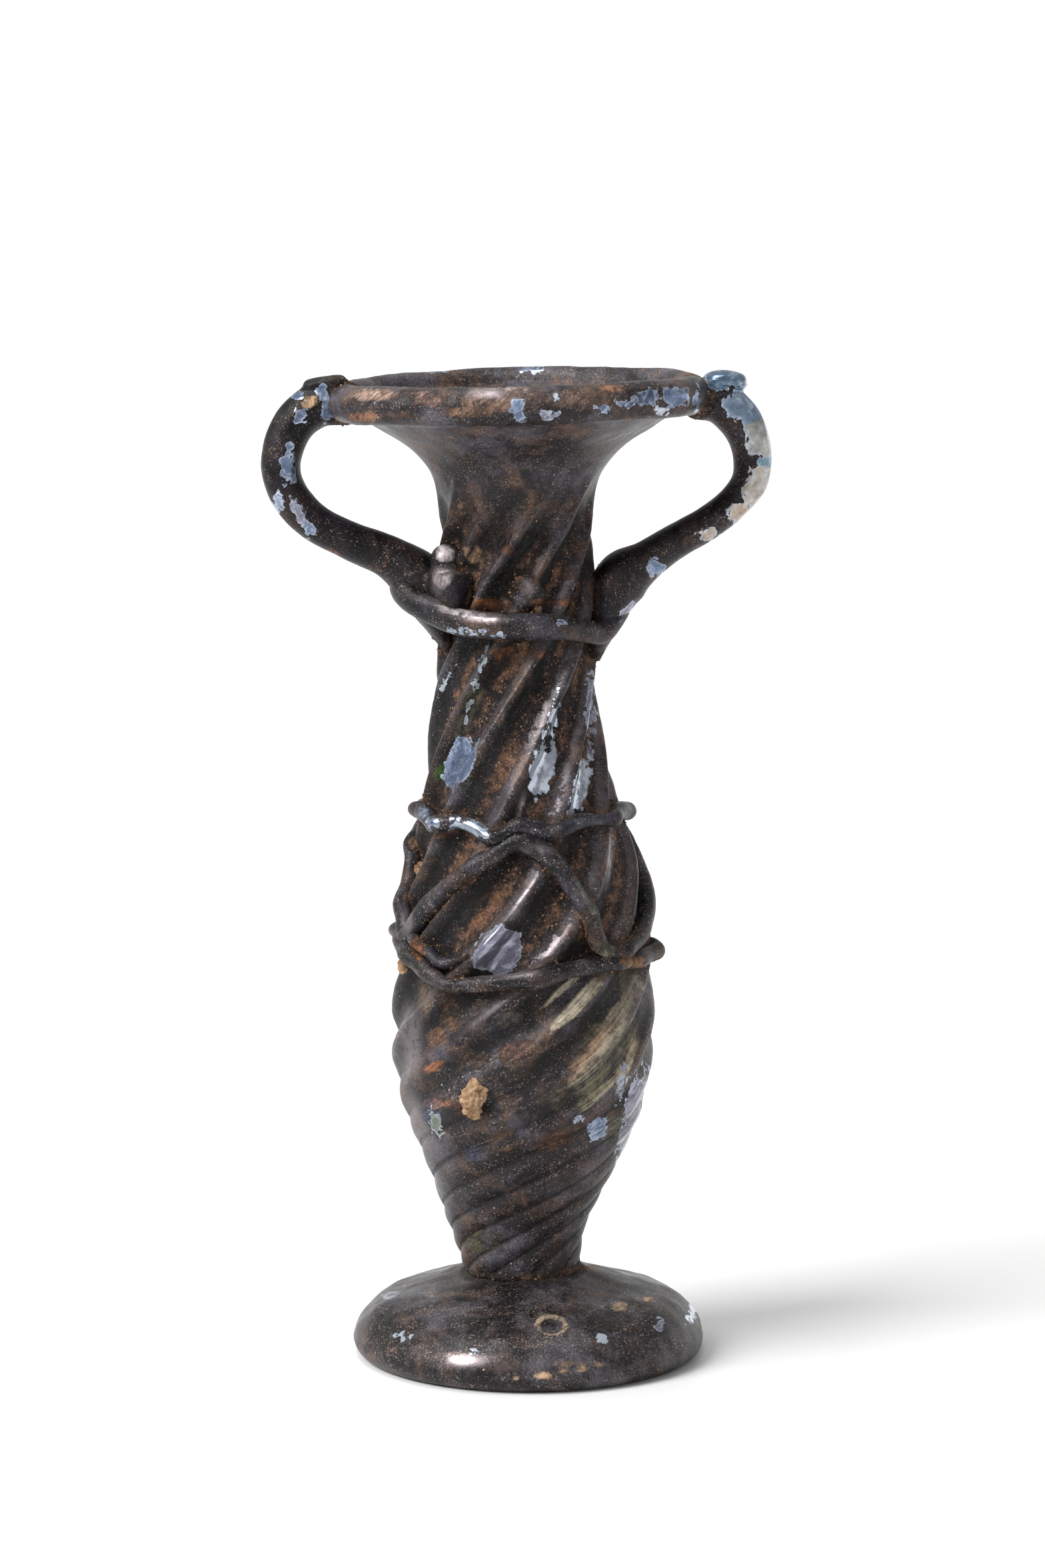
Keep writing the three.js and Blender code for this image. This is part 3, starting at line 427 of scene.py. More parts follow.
def weathered_glass(name, dark, brown, veil, gloss, specks=0.8, shine=0.3):
    """Weathered glass by the colours of its ground, of the brown clouds and of the grey veil over
    it, by its roughness where it is whole, the strength of its pale grains and its shine."""
    material = bpy.data.materials.new(name)
    material.use_nodes = True
    tree = material.node_tree
    shader = tree.nodes["Principled BSDF"]
    spot = add(tree, "ShaderNodeTexCoord", out="Object")
    flow = add(tree, "ShaderNodeAttribute", out="Vector", attribute_name="flow")

    # Brown clouds some 6 mm across, and a ragged grey veil over them
    clouds = add(tree, "ShaderNodeTexNoise", {"Vector": spot, "Scale": 1 / (6 * MM), "Detail": 11.0,
                                              "Roughness": 0.7, "Distortion": 0.5})
    share = add(tree, "ShaderNodeMapRange", {"Value": clouds, "From Min": 0.49, "From Max": 0.66})
    colour = add(tree, "ShaderNodeMix", {0: share, 6: srgb(dark), 7: srgb(brown)}, out=2,
                 data_type="RGBA")
    veils = add(tree, "ShaderNodeTexNoise", {"Vector": spot, "Scale": 1 / (9 * MM), "Detail": 12.0,
                                             "Roughness": 0.72})
    share = add(tree, "ShaderNodeMapRange", {"Value": veils, "From Min": 0.49, "From Max": 0.62,
                                             "To Max": 0.8})
    colour = add(tree, "ShaderNodeMix", {0: share, 6: colour, 7: srgb(veil)}, out=2,
                 data_type="RGBA")

    # Rusty blots some 3 mm across where iron from the soil went into the skin, drawn out a little
    # the way the glass was drawn
    blots = add(tree, "ShaderNodeTexNoise", {"Vector": flow, "Scale": 1 / (3 * MM), "Detail": 11.0,
                                             "Roughness": 0.74, "Distortion": 0.3})
    share = add(tree, "ShaderNodeMapRange", {"Value": blots, "From Min": 0.59, "From Max": 0.72,
                                             "To Max": 0.7})
    colour = add(tree, "ShaderNodeMix", {0: share, 6: colour, 7: srgb(RUST)}, out=2,
                 data_type="RGBA")

    # The skin's grain over all of them, drawn at a third of a millimetre so that it shows
    grain = add(tree, "ShaderNodeTexNoise", {"Vector": spot, "Scale": 1 / (0.35 * MM),
                                             "Detail": 4.0, "Roughness": 0.8})
    tone = add(tree, "ShaderNodeMapRange", {"Value": grain, "From Min": 0.32, "From Max": 0.72,
                                            "To Min": 0.25, "To Max": 2.2})
    colour = add(tree, "ShaderNodeMix", {0: 1.0, 6: colour, 7: tone}, out=2, data_type="RGBA",
                 blend_type="MULTIPLY", clamp_factor=False)

    # Painted shade: the colour is darkened to about a fifth in the creases, on the ribs' lee sides
    # and where pieces meet, and lifted by a quarter where there is none; the skin is rougher there
    # too
    painted_shade = add(tree, "ShaderNodeAttribute", out="Fac", attribute_name="painted_shade")
    depth = add(tree, "ShaderNodeMapRange", {"Value": painted_shade, "To Min": 1.25, "To Max": 0.22})
    colour = add(tree, "ShaderNodeMix", {0: 1.0, 6: colour, 7: depth}, out=2, data_type="RGBA",
                 blend_type="MULTIPLY", clamp_factor=False)

    # Stains: crusts and tints with broken edges and drawn-out veins, and a few pale patches that
    # are painted highlights. The real veins are finer, and are drawn 0.7 mm wide so that they show
    stain_and_highlight = add(tree, "ShaderNodeAttribute", attribute_name="stain_and_highlight").node.outputs
    crumbs = add(tree, "ShaderNodeTexNoise", {"Vector": spot, "Scale": 1 / (1.5 * MM),
                                              "Detail": 11.0, "Roughness": 0.78})
    ragged = add(tree, "ShaderNodeMath", {0: blots, 1: crumbs}, operation="ADD")
    level = add(tree, "ShaderNodeMath", {0: stain_and_highlight["Alpha"], 1: 1.2, 2: ragged},
                operation="MULTIPLY_ADD")
    strength = add(tree, "ShaderNodeMapRange", {"Value": level, "From Min": 1.6, "From Max": 1.9,
                                                "To Max": 0.92})
    drawn = add(tree, "ShaderNodeVectorMath", {0: flow, 1: (1.0, 1.0, 0.1)}, operation="MULTIPLY")
    drawn = add(tree, "ShaderNodeTexNoise", {"Vector": drawn, "Scale": 1 / (0.7 * MM),
                                             "Detail": 6.0, "Roughness": 0.6})
    mottle = add(tree, "ShaderNodeMath", {0: crumbs, 1: drawn}, operation="ADD")
    mottle = add(tree, "ShaderNodeMapRange", {"Value": mottle, "From Min": 0.82, "From Max": 1.2,
                                              "To Min": 0.15, "To Max": 1.6})
    stain_and_highlight_colour = add(tree, "ShaderNodeMix", {0: 1.0, 6: stain_and_highlight["Color"], 7: mottle}, out=2,
                data_type="RGBA", blend_type="MULTIPLY", clamp_factor=False)
    colour = add(tree, "ShaderNodeMix", {0: strength, 6: colour, 7: stain_and_highlight_colour}, out=2, data_type="RGBA")

    # Soil: caked where its value is high, and a thin film of crumbs where it is low
    soil = add(tree, "ShaderNodeAttribute", out="Fac", attribute_name="soil")
    drifts = add(tree, "ShaderNodeMapRange", {"Value": clouds, "From Min": 0.35, "From Max": 0.62,
                                              "To Min": 0.6, "To Max": 1.1})
    soil = add(tree, "ShaderNodeMath", {0: soil, 1: drifts}, operation="MULTIPLY")
    level = add(tree, "ShaderNodeMath", {0: crumbs, 1: soil}, operation="ADD")
    caked = add(tree, "ShaderNodeMapRange", {"Value": level, "From Min": 0.8, "From Max": 1.04,
                                             "To Max": 0.88})
    share = add(tree, "ShaderNodeMapRange", {"Value": level, "From Min": 1.0, "From Max": 1.25})
    earth = add(tree, "ShaderNodeMix", {0: share, 6: srgb("463b37"), 7: srgb("7d5a45")}, out=2,
                data_type="RGBA")
    share = add(tree, "ShaderNodeMapRange", {"Value": crumbs, "From Min": 0.4, "From Max": 0.6,
                                             "To Min": 0.35, "To Max": 1.25})
    earth = add(tree, "ShaderNodeMix", {0: 1.0, 6: earth, 7: share}, out=2, data_type="RGBA",
                blend_type="MULTIPLY", clamp_factor=False)
    share = add(tree, "ShaderNodeMapRange", {"Value": grain, "From Min": 0.3, "From Max": 0.7,
                                             "To Min": 0.3, "To Max": 1.5})
    earth = add(tree, "ShaderNodeMix", {0: 1.0, 6: earth, 7: share}, out=2, data_type="RGBA",
                blend_type="MULTIPLY", clamp_factor=False)
    colour = add(tree, "ShaderNodeMix", {0: caked, 6: colour, 7: earth}, out=2, data_type="RGBA")

    # Pale grains, thicker in drifts, and here and there a larger one. The real ones are 0.1 mm
    # across, and are drawn at 0.3 mm so that they show
    dust = add(tree, "ShaderNodeTexNoise", {"Vector": spot, "Scale": 1 / (0.28 * MM), "Detail": 2.0,
                                            "Roughness": 0.7})
    dust = add(tree, "ShaderNodeMath", {0: blots, 1: 0.5, 2: dust}, operation="MULTIPLY_ADD")
    dots = add(tree, "ShaderNodeMapRange", {"Value": dust, "From Min": 0.85, "From Max": 0.95,
                                            "To Max": specks})
    # Fewer pale grains in the painted shade
    clear = add(tree, "ShaderNodeMath", {0: painted_shade, 1: -0.6, 2: 1.0}, operation="MULTIPLY_ADD")
    dots = add(tree, "ShaderNodeMath", {0: dots, 1: clear}, operation="MULTIPLY")
    colour = add(tree, "ShaderNodeMix", {0: dots, 6: colour, 7: srgb("938980")}, out=2,
                 data_type="RGBA")
    cells = add(tree, "ShaderNodeTexVoronoi", {"Vector": spot, "Scale": 1 / (1.3 * MM)})
    cells = cells.node.outputs
    reach = add(tree, "ShaderNodeMapRange", {"Value": cells["Color"], "From Min": 0.55,
                                             "To Max": 0.16})
    dots = add(tree, "ShaderNodeMath", {0: reach, 1: cells["Distance"]}, operation="SUBTRACT")
    dots = add(tree, "ShaderNodeMapRange", {"Value": dots, "From Max": 0.06, "To Max": specks})
    colour = add(tree, "ShaderNodeMix", {0: dots, 6: colour, 7: srgb("cfc6ba")}, out=2,
                 data_type="RGBA")

    # Places rubbed smooth, which shine, and are painted paler there as a highlight
    wear_and_highlight = add(tree, "ShaderNodeAttribute", out="Fac", attribute_name="wear_and_highlight")
    held = add(tree, "ShaderNodeMapRange", {"Value": crumbs, "From Min": 0.66, "From Max": 0.5,
                                            "To Min": 0.3})
    wear_and_highlight = add(tree, "ShaderNodeMath", {0: wear_and_highlight, 1: held}, operation="MULTIPLY")
    share = add(tree, "ShaderNodeMath", {0: wear_and_highlight, 1: wear_and_highlight}, operation="MULTIPLY")
    share = add(tree, "ShaderNodeMath", {0: share, 1: 0.75}, operation="MULTIPLY")
    colour = add(tree, "ShaderNodeMix", {0: share, 6: colour, 7: srgb("958a8c")}, out=2,
                 data_type="RGBA")

    # Lost flakes: ragged edges with a pale broken rim, and blue, lavender and brown streaks inside
    flake = add(tree, "ShaderNodeAttribute", out="Fac", attribute_name="flake")
    teeth = add(tree, "ShaderNodeTexNoise", {"Vector": spot, "Scale": 1 / (1.6 * MM), "Detail": 8.0,
                                             "Roughness": 0.68})
    chips = add(tree, "ShaderNodeTexVoronoi", {"Vector": spot, "Scale": 1 / (0.9 * MM)}, out=1)
    jag = add(tree, "ShaderNodeMath", {0: teeth, 1: 2.0, 2: -1.35}, operation="MULTIPLY_ADD")
    jag = add(tree, "ShaderNodeMath", {0: chips, 1: 0.8, 2: jag}, operation="MULTIPLY_ADD")
    inside = add(tree, "ShaderNodeMath", {0: flake, 1: jag}, operation="ADD")
    bare = add(tree, "ShaderNodeMapRange", {"Value": inside, "From Min": -0.03, "From Max": 0.04})
    bare_colour = add(tree, "ShaderNodeAttribute", out="Color", attribute_name="flake_colour")
    streaks = add(tree, "ShaderNodeTexNoise", {"Vector": flow, "Scale": 1 / (1.5 * MM),
                                               "Detail": 6.0, "Roughness": 0.6, "Distortion": 0.6})
    share = add(tree, "ShaderNodeMapRange", {"Value": streaks, "From Min": 0.5, "From Max": 0.72,
                                             "To Max": 0.7})
    bare_colour = add(tree, "ShaderNodeMix", {0: share, 6: bare_colour, 7: srgb(PALE)}, out=2,
                      data_type="RGBA")
    share = add(tree, "ShaderNodeMapRange", {"Value": streaks, "From Min": 0.48, "From Max": 0.34,
                                             "To Max": 0.42})
    bare_colour = add(tree, "ShaderNodeMix", {0: share, 6: bare_colour, 7: srgb("454656")}, out=2,
                      data_type="RGBA")
    rim = add(tree, "ShaderNodeMapRange", {"Value": inside, "From Min": 0.35, "From Max": 0.05,
                                           "To Max": 0.55})
    rim = add(tree, "ShaderNodeMath", {0: rim, 1: tone}, operation="MULTIPLY", use_clamp=True)
    bare_colour = add(tree, "ShaderNodeMix", {0: rim, 6: bare_colour, 7: srgb("b6c0d0")}, out=2,
                      data_type="RGBA")
    colour = add(tree, "ShaderNodeMix", {0: bare, 6: colour, 7: bare_colour}, out=2,
                 data_type="RGBA")
    tree.links.new(colour, shader.inputs["Base Color"])

    rough = add(tree, "ShaderNodeMapRange", {"Value": clouds, "From Min": 0.35, "From Max": 0.65,
                                             "To Min": gloss - 0.08, "To Max": gloss + 0.12})
    rough = add(tree, "ShaderNodeMath", {0: painted_shade, 1: 0.25, 2: rough}, operation="MULTIPLY_ADD")
    rough = add(tree, "ShaderNodeMix", {0: strength, 2: rough, 3: 0.55})
    rough = add(tree, "ShaderNodeMix", {0: caked, 2: rough, 3: 0.9})
    rough = add(tree, "ShaderNodeMix", {0: wear_and_highlight, 2: rough, 3: 0.2})
    rough = add(tree, "ShaderNodeMix", {0: bare, 2: rough, 3: 0.16})
    tree.links.new(rough, shader.inputs["Roughness"])
    sheen = add(tree, "ShaderNodeMath", {0: wear_and_highlight, 1: 0.5, 2: 0.1}, operation="MULTIPLY_ADD")
    sheen = add(tree, "ShaderNodeMix", {0: bare, 2: sheen, 3: 0.6})
    tree.links.new(sheen, shader.inputs["Metallic"])

    # Heights in millimetres: pitting, the grain, the step down into a lost flake, crusts and soil
    fine = add(tree, "ShaderNodeMath", {0: grain, 1: 0.045}, operation="MULTIPLY")
    pitted = add(tree, "ShaderNodeMath", {0: crumbs, 1: 0.12, 2: fine}, operation="MULTIPLY_ADD")
    solid = add(tree, "ShaderNodeMath", {0: 1.0, 1: bare}, operation="SUBTRACT")
    pitted = add(tree, "ShaderNodeMath", {0: pitted, 1: solid}, operation="MULTIPLY")
    step = add(tree, "ShaderNodeMath", {0: solid, 1: 0.1, 2: pitted}, operation="MULTIPLY_ADD")
    crusted = add(tree, "ShaderNodeMath", {0: strength, 1: blots}, operation="MULTIPLY")
    step = add(tree, "ShaderNodeMath", {0: crusted, 1: 0.2, 2: step}, operation="MULTIPLY_ADD")
    heap = add(tree, "ShaderNodeMath", {0: caked, 1: crumbs}, operation="MULTIPLY")
    relief = add(tree, "ShaderNodeMath", {0: heap, 1: 0.5, 2: step}, operation="MULTIPLY_ADD")
    firm = add(tree, "ShaderNodeMath", {0: wear_and_highlight, 1: -0.6, 2: 0.8}, operation="MULTIPLY_ADD")
    normal = add(tree, "ShaderNodeBump", {"Height": relief, "Strength": firm, "Distance": MM})
    tree.links.new(normal, shader.inputs["Normal"])
    shader.inputs["IOR"].default_value = 1.5
    shader.inputs["Specular IOR Level"].default_value = shine
    return material


def seen(points):
    """Where the camera sees points, as X and Z on the upright plane through the axis."""
    reach = CAMERA_PLACE[1] / (CAMERA_PLACE[1] - points[:, 1:2])
    return CAMERA_PLACE[[0, 2]] + (points[:, [0, 2]] - CAMERA_PLACE[[0, 2]]) * reach


def facing(points, normals):
    """1 where a surface looks straight at the camera, and below 0 where it looks away."""
    towards = CAMERA_PLACE - points
    return np.sum(normals * towards, axis=1) / np.linalg.norm(towards, axis=1)


def inside_patches(piece, patches, uneven=0.0):
    """How far inside the nearest patch each point is, in millimetres, and that patch's colour.
    A patch is [x, z, half width, half height, degrees turned, colour] as seen from the front. Its
    outline is drawn in or out a little by uneven, a number for each point."""
    points, normals = read_points(piece), read_points(piece, "normal")
    at = seen(points)
    field, colours = np.full(len(points), -3.0), np.tile(srgb(LAVENDER), (len(points), 1))
    for x, z, wide, high, degrees, code in patches:
        away, turn = at - (x, z), math.radians(degrees)
        u = (away[:, 0] * math.cos(turn) + away[:, 1] * math.sin(turn)) / wide
        v = (away[:, 1] * math.cos(turn) - away[:, 0] * math.sin(turn)) / high
        inside = (1 - (np.abs(u) ** 2.6 + np.abs(v) ** 2.6) ** (1 / 2.6)) * min(wide, high)
        inside += uneven * min(0.5, 0.5 * wide, 0.5 * high)
        nearer = inside > field
        field[nearer] = inside[nearer]
        colours[nearer] = srgb(code)
    field[facing(points, normals) < 0.03] = -3.0
    return field, colours


def weather(piece, material, flakes=(), stains_and_highlights=(), wear_and_highlight=(), rubbed_sheen=0, strays=0, crusts=0, seed=1,
            flow=None):
    """Gives a piece its material and what its surface shows. The share rubbed all along is how worn
    the piece is everywhere, and it also paints the piece paler there as a highlight. Strays are
    small lost flakes, and crusts are tinted places, both where luck puts them on the side that the
    photograph doesn't see."""
    points, normals = read_points(piece), read_points(piece, "normal")
    flow = points if flow is None else flow
    ragged = cloud(points, 1.5, 20.0 + seed, 2)
    field, colours = inside_patches(piece, flakes, ragged)
    luck = np.random.default_rng(seed)
    hidden = np.flatnonzero((normals[:, 1] > 0.3) & (points[:, 1] > 0.25 * points[:, 1].max()))
    tints_and_highlights = np.zeros((len(points), 4))
    for number, spot in enumerate(luck.choice(hidden, strays + crusts)):
        stretch = np.array([1, 1, luck.uniform(0.4, 0.9)])
        away = np.linalg.norm((points - points[spot]) * stretch, axis=1)
        away = (away + np.linalg.norm((flow - flow[spot]) * stretch, axis=1)) / 2
        if number < strays:
            inside = luck.uniform(0.4, 1.9) + 0.6 * ragged - away
            nearer = inside > field
            field[nearer] = inside[nearer]
            colours[nearer] = srgb(luck.choice([BLUE, LAVENDER, SILVER, "485871"]))
        else:
            wide, code = luck.uniform(3, 8), luck.choice([OLIVE, CREAM, RUST, TAN, "363a4a"])
            strength = luck.uniform(0.5, 0.7) * ease(wide - away, 0, 0.5 * wide)
            tints_and_highlights[strength > tints_and_highlights[:, 3], :3] = srgb(code)[:3]
            tints_and_highlights[:, 3] = np.maximum(tints_and_highlights[:, 3], strength)
    for patch in stains_and_highlights:
        inside, tint = inside_patches(piece, [patch[:6]])
        strength = patch[6] * ease(inside, -0.5, 0.7 * min(patch[2:4]))[:, None]
        share = np.clip(strength / np.maximum(tints_and_highlights[:, 3:] + strength, 1e-6), 0, 1)
        tints_and_highlights[:, :3] = tints_and_highlights[:, :3] * (1 - share) + tint[:, :3] * share
        tints_and_highlights[:, 3:] = np.maximum(tints_and_highlights[:, 3:], strength)
    smooth_and_highlit = np.zeros(len(points)) + rubbed_sheen
    for *patch, strength in wear_and_highlight:
        inside = inside_patches(piece, [(*patch, PALE)])[0]
        smooth_and_highlit = np.maximum(smooth_and_highlit, strength * ease(inside, -0.4, 0.8 * min(patch[2:4])))
    row_attribute(piece, "wear_and_highlight", smooth_and_highlit)
    row_attribute(piece, "flake", np.clip(field, -3, 3))
    row_attribute(piece, "flow", flow * MM)
    for name, values in (("flake_colour", colours), ("stain_and_highlight", tints_and_highlights)):
        attribute = piece.data.attributes.new(name, "FLOAT_COLOR", "POINT")
        attribute.data.foreach_set("color", values.ravel())
    piece.data.materials.clear()
    piece.data.materials.append(material)


# Lost flakes as patches: [x, z, half width, half height, degrees turned, colour]
vessel_flakes = [
    (-10.5, 91.9, 1.9, 3.9, -22, BLUE), (2.0, 90.5, 1.7, 3.7, -14, PALE),
    (7.9, 87.8, 1.1, 4.3, -14, PALE), (9.4, 100.7, 0.7, 3.9, 0, LAVENDER),
    (6.6, 84.0, 0.5, 1.9, -22, PALE), (-8.2, 103.2, 0.22, 3.6, -16, "8d9a98"),
    (-12.6, 104.2, 0.2, 1.3, -25, "8d9a98"), (3.7, 98.8, 0.6, 2.4, -16, SILVER),
    (9.4, 93.6, 0.4, 0.8, 0, LAVENDER), (-4.6, 62.6, 3.3, 3.6, -25, LAVENDER),
    (10.6, 35.1, 1.3, 2.0, 0, BLUE), (7.5, 36.3, 0.7, 0.6, 0, LAVENDER),
    (16.0, 37.0, 1.3, 6.8, -12, "6f6c77"), (14.4, 42.3, 0.5, 2.0, -12, LAVENDER),
    (-14.3, 35.8, 0.8, 1.9, 10, "6c7466"), (17.7, 147.1, 2.2, 1.0, 8, "485871"),
    (22.3, 147.3, 1.9, 1.3, 0, "5f7090"), (14.2, 146.2, 1.0, 0.7, 0, "485871"),
    (25.2, 146.9, 0.5, 1.4, 0, "5f7090"), (11.4, 145.6, 0.9, 0.4, 0, "667694"),
    (19.9, 145.2, 0.8, 0.6, 0, PALE), (-1.6, 145.2, 1.0, 1.7, 0, "62728c"),
    (2.3, 144.6, 1.3, 0.6, 0, LAVENDER), (4.0, 147.4, 0.5, 0.5, 0, LAVENDER),
    (-31.5, 145.0, 1.0, 1.2, 0, BLUE), (0.5, 151.6, 1.6, 0.5, 0, BLUE),
    (-13.9, 151.3, 1.3, 0.4, 0, BLUE),
]
# Crusts, tints and the marbling at the right of the belly, and a pale painted highlight along the
# lip: patches with a strength at their end
vessel_stains_and_highlight = [
    (11.5, 47.0, 7.0, 14.0, -28, OLIVE, 0.72), (12.5, 50.5, 2.1, 12.0, -32, "b0a58e", 0.92),
    (8.0, 55.0, 1.5, 9.0, -44, "b0a58e", 0.9), (9.8, 40.0, 1.6, 5.0, -50, "8f8a6c", 0.85),
    (15.2, 45.0, 0.9, 6.0, -20, "b0a088", 0.9), (13.4, 51.0, 0.6, 8.0, -30, "b9ad98", 0.9),
    (10.4, 47.5, 0.5, 8.0, -36, "aca18d", 0.9), (12.0, 41.5, 0.6, 6.0, -44, "b3a792", 0.9),
    (5.5, 57.0, 0.6, 6.0, -48, "aca18d", 0.8), (9.0, 46.5, 1.0, 6.0, -38, "9a6a4a", 0.7),
    (-14.6, 44.6, 2.2, 1.0, 25, "8a5a3c", 0.9), (-15.0, 37.5, 2.4, 3.4, 0, "33384c", 0.8),
    (-8.0, 31.0, 3.4, 2.6, 0, "363a4a", 0.75), (3.0, 40.0, 5.0, 4.0, 0, "3c3430", 0.7),
    (-16.0, 55.0, 2.0, 6.0, 0, "5a4c42", 0.7), (15.5, 60.0, 2.0, 7.0, -8, OLIVE, 0.9),
    (13.0, 35.2, 3.8, 2.4, 15, OLIVE, 0.9), (10.5, 43.0, 2.0, 6.0, -35, OLIVE, 0.8),
    (9.6, 66.0, 1.8, 4.4, 0, "9a6a44", 1.0), (-13.5, 90.3, 0.9, 1.7, -20, "2f4a18", 1.1),
    (-12.0, 53.0, 3.0, 5.0, 0, "6b5038", 0.6), (-9.0, 45.5, 5.0, 3.0, 0, "5a4434", 0.6),
    (-4.0, 33.0, 5.0, 4.0, 0, "5e4a36", 0.6), (-23.2, 147.7, 5.4, 1.5, 0, "9a8071", 0.75),
    (-15.0, 147.0, 5.5, 2.2, 0, "6b5248", 0.66), (-5.0, 146.4, 10.0, 2.6, 0, "7d6557", 0.68),
    # The pale pink patch high on the lip, a08f8c, is a painted highlight
    (9.0, 146.8, 10.0, 2.6, 0, "5f4a40", 0.68), (-4.0, 148.2, 8.0, 1.2, 0, "a08f8c", 0.66),
    (-9.0, 145.0, 6.0, 1.2, 0, "6e4c3a", 0.7), (20.0, 146.0, 8.0, 2.4, 0, "453531", 0.7),
    (12.5, 148.6, 2.5, 0.8, 0, "8a5f44", 0.75), (-24.7, 144.3, 3.3, 1.1, 0, "8c634a", 0.8),
    (-19.0, 144.6, 4.0, 1.0, 0, "5f463b", 0.7), (-8.4, 123.7, 2.6, 3.4, 30, TAN, 0.62),
    (-10.0, 129.0, 1.2, 5.0, 8, TAN, 0.55), (5.5, 121.0, 3.0, 2.4, 0, "70442c", 0.62),
    (-3.0, 124.0, 2.4, 1.8, 0, "70442c", 0.6), (-6.0, 115.8, 5.0, 1.4, 0, "8a5634", 0.8),
    (4.0, 116.2, 5.0, 1.0, 0, "7d4e30", 0.75), (-2.0, 108.5, 8.0, 1.6, 0, "74482e", 0.7),
    (-9.0, 100.0, 2.5, 8.0, -22, "50483a", 0.7), (-14.0, 49.0, 3.0, 3.0, 0, "5c3f30", 0.72),
    (-2.0, 47.0, 5.0, 3.0, 20, "4c342a", 0.72), (4.0, 33.0, 6.0, 3.0, 20, "503629", 0.72),
    (-10.0, 38.0, 3.0, 2.0, 0, "563a2d", 0.72), (-3.0, 52.0, 4.0, 2.0, 30, "44403c", 0.72),
    (5.0, 27.0, 5.0, 2.0, 15, "463c3a", 0.72), (-13.2, 38.9, 2.4, 0.9, 0, "8f5f40", 0.75),
    (1.0, 24.0, 8.0, 8.0, 0, "3f3a2c", 0.5), (-7.0, 17.0, 6.0, 4.0, 0, "4c4a30", 0.6),
]
# The lip, the crests of some ribs, the boss and the left of the belly, rubbed to a shine and
# painted paler as highlights: patches with a strength in place of the colour
vessel_wear_and_highlights = [
    (-6.4, 147.9, 3.4, 1.0, 0, 1.0), (-1.3, 84.6, 0.5, 2.6, -14, 1.0),
    (12.4, 77.3, 0.7, 4.8, -8, 1.0), (-0.7, 71.1, 0.6, 4.6, -32, 0.9),
    (4.3, 64.1, 0.6, 4.8, -38, 0.8), (2.2, 98.8, 0.6, 4.0, -16, 0.7),
    (-0.3, 118.5, 2.0, 1.9, 0, 0.75), (-17.9, 47.8, 2.6, 8.0, 0, 0.75),
    (-17.0, 37.0, 1.6, 6.0, 20, 0.6),
]
vessel_skin = weathered_glass("weathered_body_glass", "1a1618", "503d33", "45434b", 0.32,
                              shine=0.24)
# Untwisted and shortened, so that a pattern read there runs in streaks along the ribs
STREAK = 1.4
points = read_points(vessel)
up, off_axis = points[:, 2], points[:, 0] - shift(points[:, 2])
reach = np.hypot(off_axis, points[:, 1])
untwisted = np.arctan2(off_axis, -points[:, 1])
untwisted -= twist(up)
vessel_flow = np.stack([reach * np.sin(untwisted), -reach * np.cos(untwisted), up / STREAK], axis=1)
# The ribs stand proud, so their crests are rubbed and painted paler as a highlight, a little to one
# side of the top. The inside and the boss aren't
along_crest = np.cos(RIB_COUNT * (untwisted + math.radians(5))) / 2 + 0.5
rubbed_sheen = 0.5 * along_crest ** 6 * ease(up, 44, 62) * ease(up, 132, 116)
rubbed_sheen *= reach > outline_radius(up) - 0.5
rubbed_sheen *= ease(np.linalg.norm(points - boss, axis=1), 2.2, 3.5)
weather(vessel, vessel_skin, vessel_flakes, vessel_stains_and_highlight, vessel_wear_and_highlights, rubbed_sheen, strays=14,
        crusts=16, seed=4, flow=vessel_flow)
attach(vessel, "root")
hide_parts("vessel")


# THE PAD FOOT
# A separate gather, dropped on the base and pressed out into a low dome with a thick rolled edge.
# Its top was worked by hand and is a little uneven. It stands on a flat face with a pontil scar.
FOOT_RADIUS, FOOT_EDGE_RADIUS, FOOT_SEAT_RADIUS = 27.1, 2.5, 9.6
SCAR_RADIUS, SCAR_WIDTH, SCAR_DEPTH = 5.2, 2.2, 0.5
FOOT_SIDES = 300
# A round mark at the front right of its top
MARK_X, MARK_Y, MARK_RADIUS = 3.4, -20.6, 2.3
edge_turns = np.radians(np.arange(-90, 1, 10))
scar = [(SCAR_RADIUS + SCAR_WIDTH / 2 * t, SCAR_DEPTH * math.cos(t * math.pi / 2) ** 2)
        for t in np.linspace(-1, 1, 9)]
edge = [(FOOT_RADIUS - FOOT_EDGE_RADIUS + FOOT_EDGE_RADIUS * math.cos(t),
         FOOT_EDGE_RADIUS + FOOT_EDGE_RADIUS * math.sin(t)) for t in edge_turns]
dome = smooth_line([
    (between(FOOT_RADIUS, FOOT_SEAT_RADIUS, inward), between(FOOT_EDGE_RADIUS, FOOT_TOP, up))
    for inward, up in ((0, 0), (0.03, 0.19), (0.1, 0.37), (0.2, 0.54), (0.38, 0.68), (0.65, 0.82),
                       (0.9, 0.95), (1, 1), (1.08, 1.07))], 12)
underside = evenly(np.array([(1.0, 0), *scar, edge[0]]), 0.9)
half_foot = np.vstack([underside, edge[1:], evenly(dome, 0.5)[1:]])
turns = np.arange(FOOT_SIDES) / FOOT_SIDES * 2 * math.pi
foot_points = [(r * math.sin(a), -r * math.cos(a), h) for r, h in half_foot for a in turns]
foot_faces = [(ring * FOOT_SIDES + i, ring * FOOT_SIDES + (i + 1) % FOOT_SIDES,
               (ring + 1) * FOOT_SIDES + (i + 1) % FOOT_SIDES, (ring + 1) * FOOT_SIDES + i)
              for ring in range(len(half_foot) - 1) for i in range(FOOT_SIDES)]
foot_faces.append(tuple(range(FOOT_SIDES))[::-1])
foot_faces.append(tuple(range(len(foot_points) - FOOT_SIDES, len(foot_points))))
